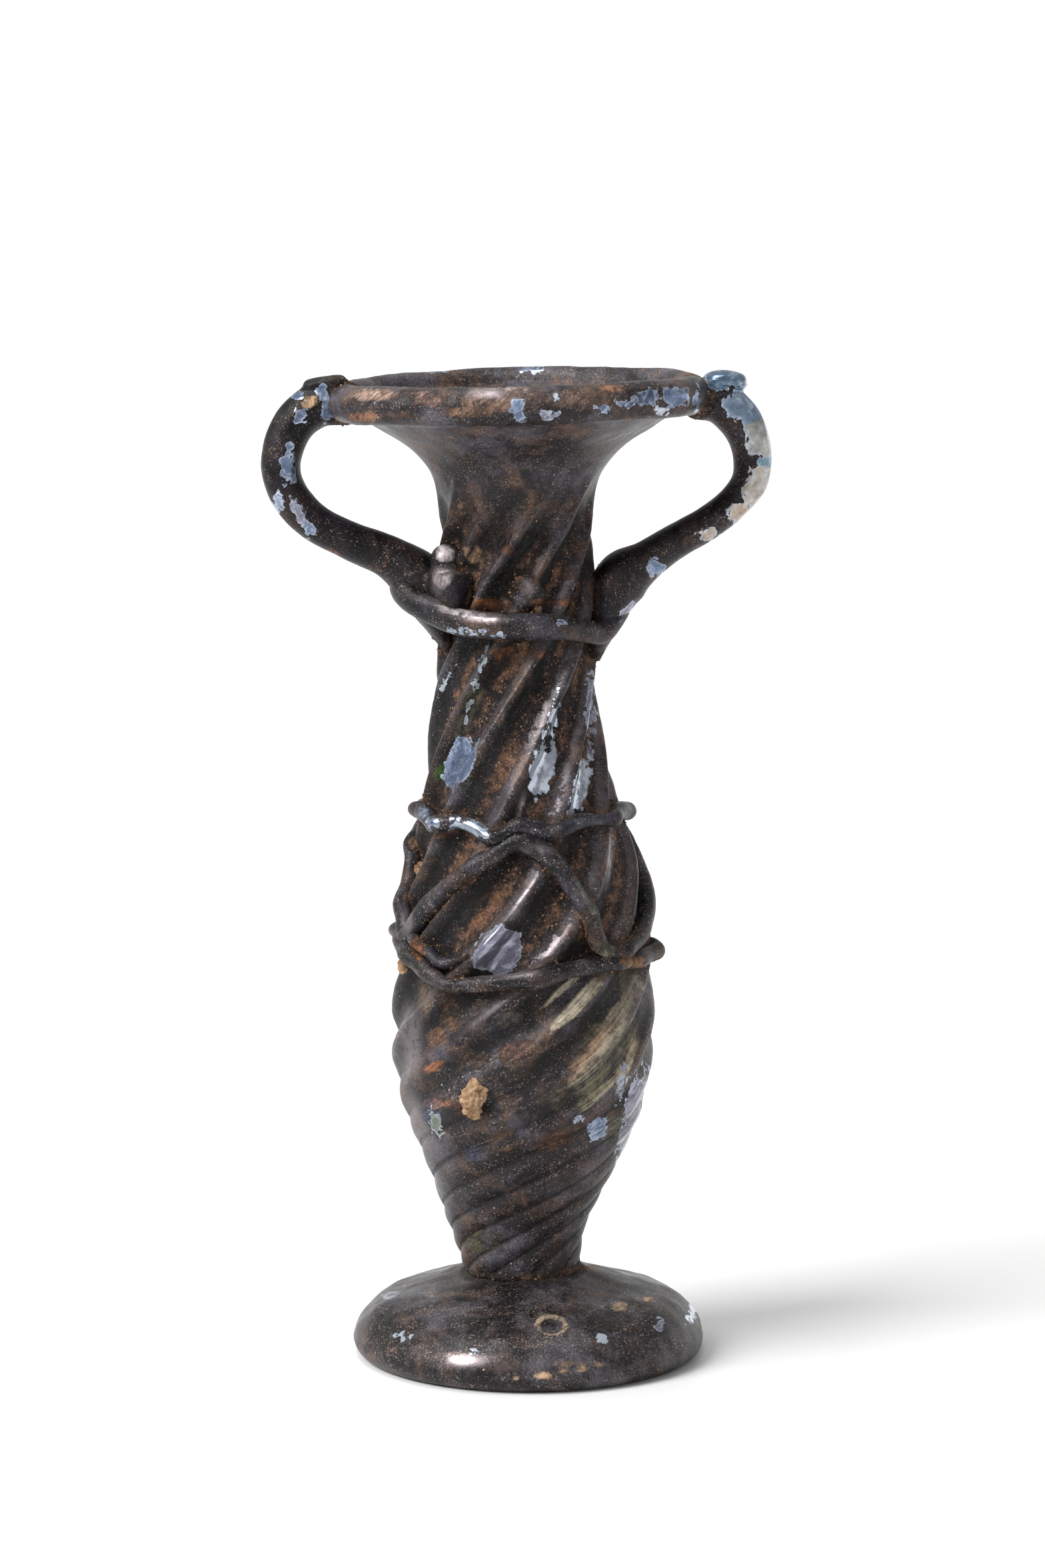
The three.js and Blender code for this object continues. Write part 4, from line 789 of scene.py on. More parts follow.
foot = new_mesh("foot_glass", foot_points, faces=foot_faces)


def from_mark(points):
    """Each point's distance from the middle of the round mark."""
    return np.hypot(points[:, 0] - MARK_X, points[:, 1] - MARK_Y)


# The dome is uneven, and low swirls turn with the twist of the wall above them
points = read_points(foot)
on_top = ease(points[:, 2], 0.6, 4)
out = np.hypot(points[:, 0], points[:, 1])
swirl = np.arctan2(points[:, 0], -points[:, 1]) * 3 + out / 5
push_out(foot, on_top * (0.45 * cloud(points, 11, 3.1) + 0.12 * np.sin(swirl) * ease(out, 26, 15)))
# The mark is a shallow sink with a raised ring
points = read_points(foot)
mark = from_mark(points)
ring = 0.3 * np.exp(-((mark - MARK_RADIUS) / 0.55) ** 2)
push_out(foot, on_top * (ring - 0.35 * ease(mark, 2.2, 1.0)))
smooth_shaded(foot)
foot_skin = weathered_glass("weathered_foot_glass", "151213", "443731", "413f44", 0.3,
                            shine=0.22)
foot_flakes = [
    (25.4, 6.4, 0.7, 1.8, -15, PALE), (24.9, 10.0, 0.5, 0.8, 0, PALE),
    (20.3, 3.9, 0.5, 0.6, 0, LAVENDER), (11.4, 1.8, 0.9, 0.7, 0, SILVER),
    (-8.5, -0.5, 0.6, 0.4, 0, PALE), (-19.5, 2.0, 0.9, 0.4, 0, SILVER),
]
foot_stains = [
    (-21.5, 8.6, 1.8, 0.8, 8, "8a8a90", 0.9), (-24.6, 8.4, 1.2, 0.7, 0, TAN, 0.8),
    (14.2, 6.8, 1.5, 0.9, 0, "8f7a62", 0.95), (18.5, 7.9, 0.9, 0.5, 0, TAN, 0.8),
    (7.0, -2.2, 8.0, 1.2, 0, TAN, 0.62), (-8.0, 12.0, 9.0, 1.2, 0, "5a5a48", 0.6),
    (8.0, 13.0, 4.0, 0.6, 0, "8a5c3c", 0.7), (2.2, -4.2, 1.6, 0.6, 0, TAN, 0.85),
    (5.4, -3.4, 1.2, 0.6, 0, TAN, 0.85), (8.3, -3.2, 1.3, 0.6, 0, "a9886c", 0.85),
    (11.2, -2.6, 0.9, 0.5, 0, TAN, 0.8), (-2.0, -4.6, 0.7, 0.4, 0, TAN, 0.8),
]
# Rubbed places on the foot's front edge, painted paler as highlights
foot_wear_and_highlights = [
    (-9.9, -1.8, 5.0, 1.6, 2, 1.0), (-3.0, -2.6, 6.0, 0.8, 0, 0.5),
]
# Patterns run round the foot, the way the glass was turned
foot_flow = np.column_stack([
    np.hypot(points[:, 0], points[:, 1]) + 0.3 * points[:, 0], 0.3 * points[:, 1], points[:, 2]])
weather(foot, foot_skin, foot_flakes, foot_stains, foot_wear_and_highlights, strays=4, crusts=5, seed=6,
        flow=foot_flow)
# The mark's ring is paler than its middle
mark = from_mark(read_points(foot))
stain_and_highlight = foot.data.attributes["stain_and_highlight"].data
for number in np.flatnonzero((mark > 1.6) & (mark < 2.6)):
    stain_and_highlight[number].color = srgb("8f7d6a")[:3] + (0.85,)
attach(foot, "root")
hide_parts("pad_foot")


# THE TRAILS
# Threads of hot glass wound round the finished wall: two thin rings, and a zigzag pulled up and
# down between them. Each rides on the ribs' crests and is fused to them.
UPPER_TRAIL_AT, LOWER_TRAIL_AT = 83.4, 62.8
UPPER_TRAIL_WIDTH, LOWER_TRAIL_WIDTH, ZIGZAG_WIDTH, THREAD_END_WIDTH = 2.5, 2.6, 2.9, 1.7
TRAIL_HEIGHT, THREAD_END_HEIGHT = 1.9, 1.5
# How far a thread's middle is above its seat, as a share of half its height
THREAD_LIFT = 0.7
thread_tree, sizes = new_tree("thread_laid_on_glass", [
    ("Sides", "Int"), ("Lift", "Float"), ("Roundness", "Float"), ("Unevenness", "Float"),
    ("Unevenness Size", "Float"), ("Closed", "Bool"), ("Material", "Material")])
open_tube, row, turn = tube_nodes(thread_tree, sizes["Sides"], "NGON")
loop_tube = tube_nodes(thread_tree, sizes["Sides"], "NONE")[0]
tube = add(thread_tree, "GeometryNodeSwitch", {0: sizes["Closed"], 1: open_tube, 2: loop_tube},
           input_type="GEOMETRY")
seat = row_nodes(thread_tree, row)
outward = row_nodes(thread_tree, row, "outward")
along = row_nodes(thread_tree, row, "along")
half = row_nodes(thread_tree, row, "half")
half = add(thread_tree, "ShaderNodeSeparateXYZ", {0: half}).node.outputs
across = add(thread_tree, "ShaderNodeVectorMath", {0: along, 1: outward}, operation="CROSS_PRODUCT")
sections = []
for part in ("SINE", "COSINE"):
    wave = add(thread_tree, "ShaderNodeMath", {0: turn}, operation=part)
    size = add(thread_tree, "ShaderNodeMath", {0: wave}, operation="ABSOLUTE")
    size = add(thread_tree, "ShaderNodeMath", {0: size, 1: sizes["Roundness"]}, operation="POWER")
    side = add(thread_tree, "ShaderNodeMath", {0: wave}, operation="SIGN")
    sections.append(add(thread_tree, "ShaderNodeMath", {0: size, 1: side}, operation="MULTIPLY"))
sine, cosine = sections
lifted = add(thread_tree, "ShaderNodeMath", {0: cosine, 1: sizes["Lift"]}, operation="ADD")
sideways = add(thread_tree, "ShaderNodeMath", {0: sine, 1: half[0]}, operation="MULTIPLY")
upwards = add(thread_tree, "ShaderNodeMath", {0: lifted, 1: half[1]}, operation="MULTIPLY")
aside = add(thread_tree, "ShaderNodeVectorMath", {0: across, "Scale": sideways}, operation="SCALE")
above = add(thread_tree, "ShaderNodeVectorMath", {0: outward, "Scale": upwards}, operation="SCALE")
spot = add(thread_tree, "ShaderNodeVectorMath", {0: seat, 1: aside})
spot = add(thread_tree, "ShaderNodeVectorMath", {0: spot, 1: above})
shaped = add(thread_tree, "GeometryNodeSetPosition", {"Geometry": tube, "Position": spot})
welded = add(thread_tree, "GeometryNodeMergeByDistance", {
    "Geometry": shaped, "Distance": 0.001 * MM})
uneven = uneven_nodes(thread_tree, welded, sizes["Unevenness"], sizes["Unevenness Size"])
close_tree(thread_tree, uneven, sizes["Material"])


def thread(name, line, outward, half, closed=False, sides=20, lift=0.0, unevenness=0.35,
           roundness=1.0):
    """A thread of glass along a line of points, with its half width and half height at each. Its
    section is round at a roundness of 1 and nearly square at 0.4."""
    line, outward = np.asarray(line, float), np.asarray(outward, float)
    if closed:
        line, outward, half = (np.vstack([rows, rows[:1]]) for rows in (line, outward, half))
        along = np.roll(line, -1, axis=0) - np.roll(line, 1, axis=0)
        along[0] = along[-1] = line[1] - line[-2]
    else:
        along = np.gradient(line, axis=0)
    along -= outward * np.sum(along * outward, axis=1)[:, None]
    along /= np.linalg.norm(along, axis=1)[:, None]
    piece = new_mesh(name, line)
    row_attribute(piece, "outward", outward)
    row_attribute(piece, "along", along)
    half = np.asarray(half, float) * MM
    row_attribute(piece, "half", np.column_stack([half, np.zeros(len(half))]))
    return grown(piece, thread_tree, {
        "Sides": sides, "Lift": lift, "Roundness": roundness, "Unevenness": unevenness * MM,
        "Unevenness Size": 4 * MM, "Closed": closed})


def wound(rows, step=0.45, closed=True):
    """Even points on the unrolled wall, [turn in radians, height], through [degrees, height]."""
    flat = np.array([(math.radians(degrees) * BELLY_RADIUS, height) for degrees, height in rows])
    spans = 24
    if closed:
        once = np.array([2 * math.pi * BELLY_RADIUS, 0])
        line = smooth_line(np.vstack([flat[-3:] - once, flat, flat[:4] + once]), spans)
        line = line[3 * spans:(3 + len(flat)) * spans + 1]
    else:
        line = smooth_line(flat, spans)
    line = evenly(line, step)
    line = line[:-1] if closed else line
    return line[:, 0] / BELLY_RADIUS, line[:, 1]


def wall_seat(angle, height):
    """A thread lies on the crests and sags a little way into the grooves between them."""
    return np.maximum(wall_radius(angle, height), outline_radius(height) - 0.1 * RIB_HEIGHT)


def laid(name, rows, width, thickness, closed=True, seat=wall_seat, swell=None, leaning=True,
         soft=7):
    """A thread wound round the wall by its path, width and height above the glass. Hot glass bends
    over the ribs in soft curves, so its seat is evened out over a soft number of points. A leaning
    one stands square to the wall's slope."""
    angle, height = wound(rows, closed=closed)
    reach = np.pad(seat(angle, height), soft // 2, mode="wrap" if closed else "edge")
    line = place(np.convolve(reach, np.ones(soft) / soft, mode="valid"), angle, height)
    lean = np.gradient(outline[:, 0], outline[:, 1])
    lean = np.interp(height, outline[:, 1], lean) if leaning else np.zeros(len(height))
    outward = np.stack([np.sin(angle), -np.cos(angle), -lean], axis=1)
    outward /= np.linalg.norm(outward, axis=1)[:, None]
    scale = np.ones(len(angle)) if swell is None else swell(np.degrees(angle))
    half = np.stack([width / 2 * scale,
                     (thickness + GAP) / (1 + THREAD_LIFT) * np.sqrt(scale)], axis=1)
    return thread(name, line, outward, half, closed=closed, lift=THREAD_LIFT)


# The rings' paths: [degrees, height]
UPPER_PATH = [(turn, UPPER_TRAIL_AT + rise) for turn, rise in (
    (-90, 1.2), (-73, 1.1), (-55, -0.1), (-39, 0.8), (-26, 0), (-15, -1.2), (-2, 0.5), (15, -0.4),
    (36, 0.9), (55, 0.6), (74, 1.3), (92, 0.6), (120, -0.4), (150, 1.1), (180, 0.1), (210, -0.6),
    (240, 0.6))]
LOWER_PATH = [(turn, LOWER_TRAIL_AT + rise) for turn, rise in (
    (-90, 2.8), (-62, 0.6), (-36, -2.4), (-7, -1.6), (29, 0.2), (60, 0), (90, 0.3), (120, -0.8),
    (150, -1.8), (180, -0.3), (210, 1.2), (240, 2.2))]


def height_on(path):
    """A function that gives the height of a ring trail at an angle in degrees."""
    rows = np.array([(path[-1][0] - 360, path[-1][1]), *path, (path[0][0] + 360, path[0][1])])

    def height(degrees):
        at = (degrees - path[0][0]) % 360 + path[0][0]
        following = int(np.searchsorted(rows[:, 0], at, side="right"))
        (low, start), (high, end) = rows[following - 1], rows[following]
        return between(start, end, ease(at, low, high))
    return height


upper_height, lower_height = height_on(UPPER_PATH), height_on(LOWER_PATH)
# The zigzag's feet on the lower ring, [degrees, how late the next leg rises], and its peaks
FEET = [(-72, 1), (39, 2.4), (165, 1.3)]
PEAKS = [-2, 118, 245]
# How far a peak is below the upper ring and a foot above the lower one, then the powers that round
# a peak and make a leg fall
PEAK_DROP, FOOT_RISE, PEAK_ROUNDING, LEG_FALL = 2.3, 1.9, 1.3, 1.9
zigzag_path = []
for number, (low, lateness) in enumerate(FEET):
    peak = PEAKS[number]
    following = FEET[number + 1][0] if number + 1 < len(FEET) else FEET[0][0] + 360
    top = upper_height(peak) - PEAK_DROP
    start, end = lower_height(low) + FOOT_RISE, lower_height(following) + FOOT_RISE
    for share in (0, 0.25, 0.5, 0.75):
        risen = 1 - (1 - share ** lateness) ** PEAK_ROUNDING
        zigzag_path.append((between(low, peak, share), between(start, top, risen)))
    for share in (0, 0.25, 0.5, 0.75):
        fallen = share ** LEG_FALL
        zigzag_path.append((between(peak, following, share), between(top, end, fallen)))


def joined(parts):
    """Pieces as one mesh, which keeps the first one's name."""
    with bpy.context.temp_override(active_object=parts[0], selected_editable_objects=parts):
        bpy.ops.object.join()
    return parts[0]


def hand_drawn(degrees):
    """A thread is never quite the same thickness for long."""
    return 1 + 0.13 * np.sin(np.radians(degrees * 5 + 40)) + 0.09 * np.sin(np.radians(degrees * 13))


# Where the zigzag was started, its end curls along above the lower ring: [degrees, height above it]
THREAD_END = [(-70, 3.2), (-61, 2.7), (-50, 2.5), (-41, 2.5), (-33, 3.3), (-26, 4.2)]
curl_path = [(turn, lower_height(turn) + rise) for turn, rise in THREAD_END]
zigzag = laid("zigzag_thread", zigzag_path, ZIGZAG_WIDTH, TRAIL_HEIGHT, swell=hand_drawn)
zigzag = joined([zigzag, laid(
    "thread_end", curl_path, THREAD_END_WIDTH, THREAD_END_HEIGHT, closed=False,
    swell=lambda degrees: between(1, 0.35, ease(degrees, -38, -26)))])
trails = {
    "upper_trail": laid("upper_ring", UPPER_PATH, UPPER_TRAIL_WIDTH, TRAIL_HEIGHT,
                        swell=hand_drawn),
    "lower_trail": laid("lower_ring", LOWER_PATH, LOWER_TRAIL_WIDTH, TRAIL_HEIGHT,
                        swell=hand_drawn),
    "zigzag_trail": zigzag,
}
thread_skin = weathered_glass("thread_glass", "0e0c0f", "3f302a", "36343c", 0.36, specks=0.9,
                              shine=0.26)
trail_flakes = [
    (-9.0, 81.6, 3.1, 1.3, -8, "838d9a"), (-14.5, 82.5, 0.9, 0.7, 0, BLUE),
]
trail_stains = [
    (-16.0, 84.0, 1.4, 1.4, 0, "5f6b7c", 0.8), (8.0, 82.6, 4.0, 1.0, 6, "4c5563", 0.66),
    (-13.0, 70.5, 5.0, 3.0, 40, "3c3f52", 0.6), (9.6, 71.5, 3.0, 7.0, 25, "5a5e58", 0.66),
    (12.0, 63.0, 3.0, 2.0, 0, "5c5a48", 0.66), (16.0, 61.0, 3.0, 1.6, 0, "77512f", 0.8),
    (-17.0, 63.0, 2.0, 3.0, 0, "8a5634", 0.7),
]
# Rubbed places on the trails, painted paler as highlights
trail_wear_and_highlights = [
    (-6.0, 59.2, 9.0, 0.8, 0, 0.9), (-3.0, 77.0, 4.0, 1.2, 20, 0.6),
    (-9.0, 82.2, 3.5, 0.8, -8, 0.5), (2.0, 78.5, 3.0, 0.8, -10, 0.6),
    (-18.5, 68.0, 1.0, 4.0, 0, 0.8),
]
for node, piece in trails.items():
    weather(piece, thread_skin, trail_flakes, trail_stains, trail_wear_and_highlights, strays=3)
    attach(piece, "root")
    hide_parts(node)


# THE HANDLES
# Two solid rods, put on hot. Each was let down on the neck, drawn out and up in a loop and stuck to
# the rim: the left one ends in a thin tongue over the lip, the right one is folded back on itself.
ROD_THICKNESS, ROD_DEPTH = 6, 6.6
TAIL_HEIGHT = 107.5
LEFT_REACH, RIGHT_REACH = 40.5, 36.8
TONGUE_THICKNESS, FOLD_THICKNESS = 2.4, 3
PAD_HEIGHT, PAD_RADIUS, PAD_FRONT, PAD_BACK, PAD_STEPS = 118.8, 2.6, -40, -133, 90
KNOB_RADIUS, KNOB_DEGREES, KNOB_STEPS = 2.6, -62, 13
TOWARDS_FRONT = np.array([0, -1.0, 0])
# Centrelines: [share of the way out, share of the way up, thickness, depth]
LEFT_ROD = np.array([
    (0.594, 0.915, 1.12, 1.1), (0.755, 0.911, 1.13, 1.1), (0.896, 0.856, 1.08, 1.08),
    (0.985, 0.755, 1.02, 1.03), (0.996, 0.664, 0.98, 1.0), (0.924, 0.567, 0.98, 1.0),
    (0.783, 0.487, 0.95, 1.0), (0.578, 0.426, 0.97, 1.0), (0.333, 0.365, 1.1, 1.15),
    (0.153, 0.282, 1.4, 1.6), (0.052, 0.167, 1.0, 1.7), (-0.016, 0.054, 0.4, 0.9)])
RIGHT_ROD = np.array([
    (0.663, 0.929, 1.05, 1.05), (0.789, 0.92, 1.08, 1.08), (0.905, 0.866, 1.1, 1.08),
    (0.976, 0.795, 1.03, 1.03), (1.0, 0.718, 0.97, 1.0), (0.98, 0.635, 0.92, 1.0),
    (0.88, 0.56, 0.85, 1.0), (0.728, 0.489, 0.86, 1.0), (0.537, 0.426, 0.89, 1.05),
    (0.37, 0.362, 1.0, 1.15), (0.2, 0.285, 1.4, 1.45), (0.11, 0.162, 0.95, 1.4),
    (0.035, 0.012, 0.35, 0.8)])


def rod_line(rows, sign, reach):
    """A rod's centreline in millimetres, with its half thickness and half depth at each point."""
    neck = NECK_RADIUS + sign * shift(NECK_HEIGHT)
    x = sign * between(neck, reach - ROD_THICKNESS / 2, rows[:, 0])
    z = between(TAIL_HEIGHT, TOTAL_HEIGHT, rows[:, 1])
    sizes = np.stack([rows[:, 2] * ROD_THICKNESS / 2, rows[:, 3] * ROD_DEPTH / 2], axis=1)
    line = smooth_line(np.column_stack([x, np.zeros(len(x)), z, sizes]), 16)
    return evenly(line, 0.4)


left_line = rod_line(LEFT_ROD, -1, LEFT_REACH)
right_line = rod_line(RIGHT_ROD, 1, RIGHT_REACH)


def blunt(line):
    """The same rod with both ends rounded off over a share of its thickness."""
    steps = [(0.95, 0.25), (0.8, 0.45), (0.5, 0.58), (0.2, 0.62)]
    first, last = line[0], line[-1]
    leave, arrive = line[0, :3] - line[1, :3], line[-1, :3] - line[-2, :3]
    start = [np.r_[first[:3] + leave / np.linalg.norm(leave) * first[3] * out, first[3:] * size]
             for size, out in steps]
    end = [np.r_[last[:3] + arrive / np.linalg.norm(arrive) * last[3] * out, last[3:] * size]
           for size, out in steps]
    return np.vstack([start[::-1], line, end])


def rod(name, line):
    """A rod of glass in the handles' upright plane."""
    line = blunt(line)
    return thread(name, line[:, :3], np.tile(TOWARDS_FRONT, (len(line), 1)), line[:, 3:5], sides=40)


def lobe(name, rows, thickness, depth):
    """A flattened lobe of glass along places [x, z], rounded at both ends."""
    line = evenly(smooth_line([(x, 0, z) for x, z in rows], 12), 0.3)
    share = np.linspace(-1, 1, len(line))
    round_off = np.sqrt(np.maximum(0.03, 1 - share ** 6))
    return rod(name, np.column_stack([line, thickness / 2 * round_off, depth / 2 * round_off]))


def fused(name, parts, voxel, smoothing):
    """Pieces of hot glass run together: one skin round them all, with soft creases between."""
    whole = joined(parts)
    whole.name = whole.data.name = name
    remesh = whole.modifiers.new("skin", "REMESH")
    remesh.mode, remesh.voxel_size = "VOXEL", voxel * MM
    soften = whole.modifiers.new("soften", "SMOOTH")
    soften.factor, soften.iterations = 0.5, smoothing
    settle(whole)
    whole.data.name = name
    smooth_shaded(whole)
    return whole


def rim_top(x):
    """The height of the lip's top."""
    return TOTAL_HEIGHT + RIM_TILT * x


over_roll = -ROLL_CENTRE_RADIUS + shift(TOTAL_HEIGHT)
tongue_end = -between(ROLL_CENTRE_RADIUS, LEFT_REACH, 0.56)
tongue = lobe("tongue", [
    (over_roll, rim_top(over_roll) + 0.4),
    (between(over_roll, tongue_end, 0.5), rim_top(over_roll)),
    (tongue_end, rim_top(over_roll) - 0.6)], TONGUE_THICKNESS, ROD_DEPTH * 0.8)

# The sausage of glass at the left root, hugging the neck, with a small knob on top of it
pad_angles = np.radians(np.linspace(PAD_FRONT, PAD_BACK, PAD_STEPS))
pad_share = np.sqrt(np.maximum(0.6, 1 - np.linspace(-1, 1, PAD_STEPS) ** 40))
pad_outward = np.stack([np.sin(pad_angles), -np.cos(pad_angles), np.zeros(PAD_STEPS)], axis=1)
pad_line = place(outline_radius(PAD_HEIGHT) + 0.9, pad_angles, np.full(PAD_STEPS, PAD_HEIGHT))
pad = thread("pad", pad_line, pad_outward, np.stack([PAD_RADIUS * pad_share] * 2, axis=1), sides=32,
             roundness=0.35)
knob_height = PAD_HEIGHT + PAD_RADIUS + KNOB_RADIUS * 0.62
knob_spot = place(outline_radius(knob_height) + KNOB_RADIUS * 0.35, math.radians(KNOB_DEGREES),
                  knob_height)
knob_share = np.linspace(-1, 1, KNOB_STEPS)
knob_line = knob_spot + knob_share[:, None] * np.array([0, 0, KNOB_RADIUS])
knob_half = KNOB_RADIUS * np.sqrt(np.maximum(0.01, 1 - knob_share ** 2))
knob = thread("knob", knob_line, np.tile(TOWARDS_FRONT, (KNOB_STEPS, 1)),
              np.stack([knob_half] * 2, axis=1), sides=24)
left_handle = fused("left_handle_glass", [rod("rod", left_line), tongue, pad, knob], 0.3, 2)

# The end of the right rod, folded back flat on the rim's edge
fold_start = RIM_RADIUS + shift(TOTAL_HEIGHT) - ROLL_RADIUS * 0.4
fold_end = RIGHT_REACH - ROD_THICKNESS * 0.66
fold_top = rim_top(fold_end) - 1.5
fold = lobe("fold", [
    (fold_start, fold_top - 0.1), (between(fold_start, fold_end, 0.5), fold_top + 0.6),
    (fold_end, fold_top - 0.2)], FOLD_THICKNESS, ROD_DEPTH)
right_handle = fused("right_handle_glass", [rod("rod", right_line), fold], 0.3, 4)
left_skin = weathered_glass("weathered_left_handle_glass", "0b090b", "271d1a", "1c1a20", 0.34,
                            specks=0.5, shine=0.18)
left_flakes = [
    (-36.4, 136.4, 1.0, 2.2, 5, BLUE), (-34.5, 144.6, 1.0, 1.1, 0, BLUE),
    (-37.8, 131.3, 0.8, 1.4, 0, "8791a6"), (-34.8, 130.0, 0.8, 2.2, 20, LAVENDER),
    (-33.1, 127.3, 1.0, 1.0, 0, BLUE), (-30.6, 145.6, 0.7, 2.4, 12, BLUE),
    (-34.8, 147.6, 0.8, 0.5, 0, BLUE), (-36.0, 139.9, 0.4, 0.4, 0, BLUE),
]
# The two pale patches on the knob and the pad are painted highlights, the rest are stains
left_stains_and_highlights = [
    (-12.6, 123.6, 1.9, 1.8, 0, "bdb3b2", 1.0), (-13.2, 120.0, 2.8, 2.4, 0, "857b7c", 0.75),
    (-33.0, 146.6, 1.8, 1.2, 20, TAN, 0.9), (-30.0, 124.0, 2.0, 1.0, -30, "6b5444", 0.7),
]
# Rubbed places on the knob and the pad, painted paler as highlights
left_wear_and_highlights = [
    (-12.7, 123.9, 2.0, 1.8, 0, 0.6), (-12.6, 121.0, 3.0, 1.0, 0, 0.8),
    (-14.0, 119.0, 1.2, 2.4, 0, 0.7),
]
weather(left_handle, left_skin, left_flakes, left_stains_and_highlights, left_wear_and_highlights,
        strays=4, crusts=3, seed=9)
right_skin = weathered_glass("weathered_right_handle_glass", "0e0b0d", "2c221f", "232129", 0.34,
                             specks=0.6, shine=0.24)
right_flakes = [
    (29.9, 150.0, 3.9, 1.7, -5, "53687c"), (33.6, 146.0, 3.8, 3.0, -30, "73869a"),
    (35.4, 141.8, 2.6, 4.0, 0, "989692"), (35.8, 137.6, 1.6, 1.0, 10, "6c8492"),
    (35.0, 133.6, 2.4, 3.6, -14, "a39c92"), (32.0, 130.0, 1.9, 1.3, 30, "a89888"),
    (27.2, 126.5, 1.3, 1.1, 0, "a89a8c"), (19.0, 121.6, 1.3, 1.2, 10, BLUE),
    (14.8, 114.1, 0.9, 2.1, -25, LAVENDER),
]
right_stains = [
    (24.0, 125.5, 2.0, 1.2, 35, "4a3a33", 0.7),
]
# A rubbed place on the fold's top, painted paler as a highlight
right_wear_and_highlights = [
    (30.0, 150.8, 3.0, 0.8, 0, 0.8),
]
weather(right_handle, right_skin, right_flakes, right_stains, right_wear_and_highlights,
        strays=4, crusts=3, seed=12)
for piece, node in ((left_handle, "left_handle"), (right_handle, "right_handle")):
    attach(piece, "root")
    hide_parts(node)


# THE NECK TRAIL
# The thickest thread, wound once round the neck over both handles' roots, whose outer sides it is
# let into. It is fuller at the left, where it was started.
NECK_TRAIL_AT, NECK_TRAIL_WIDTH, NECK_TRAIL_HEIGHT = 113.6, 3.5, 2.6
NECK_PATH = [(turn, NECK_TRAIL_AT + rise) for turn, rise in (
    (-90, 4.8), (-68, 2.9), (-52, 1.1), (-38, 0.4), (0, 0.1), (32, -0.2), (52, -1.0), (70, -1.5),
    (90, 1.8), (110, -1.4), (150, -0.4), (180, 0.4), (215, 0.2), (248, 1.2))]


def near_any(degrees, angles, half_width):
    """1 at any of the angles, falling smoothly to 0 at half_width away."""
    away = np.min([np.abs((degrees - a + 180) % 360 - 180) for a in angles], axis=0)
    return 1 - ease(away, half_width * 0.45, half_width)


def tail_radius(line, height):
    """How far a handle's tail stands out from the neck's axis at a height."""
    near = line[np.abs(line[:, 0]) < ROLL_CENTRE_RADIUS]
    along = np.gradient(near[:, :3], axis=0)
    along /= np.linalg.norm(along, axis=1)[:, None]
    sideways = np.stack([along[:, 2], np.zeros(len(near)), -along[:, 0]], axis=1) * near[:, 3:4]
    edges = np.vstack([near[:, :3] + sideways, near[:, :3] - sideways])
    level = [np.abs(edges[np.abs(edges[:, 2] - h) < 0.8][:, 0] - shift(h)) for h in height]
    return np.array([xs.max() if len(xs) else 0 for xs in level])


def neck_seat(angle, height):
    """The wall, or the outer side of a handle's root where the trail crosses it."""
    degrees, bare = np.degrees(angle), wall_seat(angle, height)
    depth = NECK_TRAIL_HEIGHT + 2 * GAP
    left = between(bare, tail_radius(left_line, height) - depth, near_any(degrees, [-90], 48))
    right = between(bare, tail_radius(right_line, height) - depth, near_any(degrees, [90], 42))
    return np.maximum(bare, np.maximum(left, right))


neck_trail = laid(
    "neck_thread", NECK_PATH, NECK_TRAIL_WIDTH, NECK_TRAIL_HEIGHT, seat=neck_seat, leaning=False,
    soft=17, swell=lambda degrees: between(0.95, 1.2, near_any(degrees, [-35], 90)))
neck_flakes = [
    (-8.2, 111.7, 3.0, 0.3, -4, "5a6676"), (4.9, 113.1, 0.7, 0.4, 0, BLUE),
]
# A pale painted highlight on the trail's upper left
neck_painted_highlight = [
    (-10.0, 114.6, 5.0, 1.0, -10, "a29a9b", 0.8),
]
# Rubbed places on the trail's upper left, painted paler as highlights
neck_wear_and_highlights = [
    (-6.8, 113.9, 4.4, 1.0, -3, 1.0), (-13.0, 116.0, 3.4, 1.0, -30, 0.7),
]
weather(neck_trail, thread_skin, neck_flakes, neck_painted_highlight, neck_wear_and_highlights, strays=3, seed=15)
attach(neck_trail, "root")
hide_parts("neck_trail")


# THE SOIL
# Earth from the find spot, still caked in the grooves of the ribs, under and beside the trails and
# round the roots of the handles. It lies on the glass as crumbs and a few rusty lumps.
CREVICE, MOST_SOIL = 2.6, 0.62
glass = {"vessel": vessel, "foot": foot, "left": left_handle, "right": right_handle,
         "neck": neck_trail, **trails}


def tree_of(pieces, every):
    """Points of pieces, thinned, to look up which is nearest."""
    points = np.vstack([read_points(piece)[::every] for piece in pieces])
    tree = KDTree(len(points))
    for number, point in enumerate(points):
        tree.insert(point, number)
    tree.balance()
    return tree


fittings = tree_of([piece for name, piece in glass.items() if name != "vessel"], 2)
wall_points = tree_of([vessel], 3)
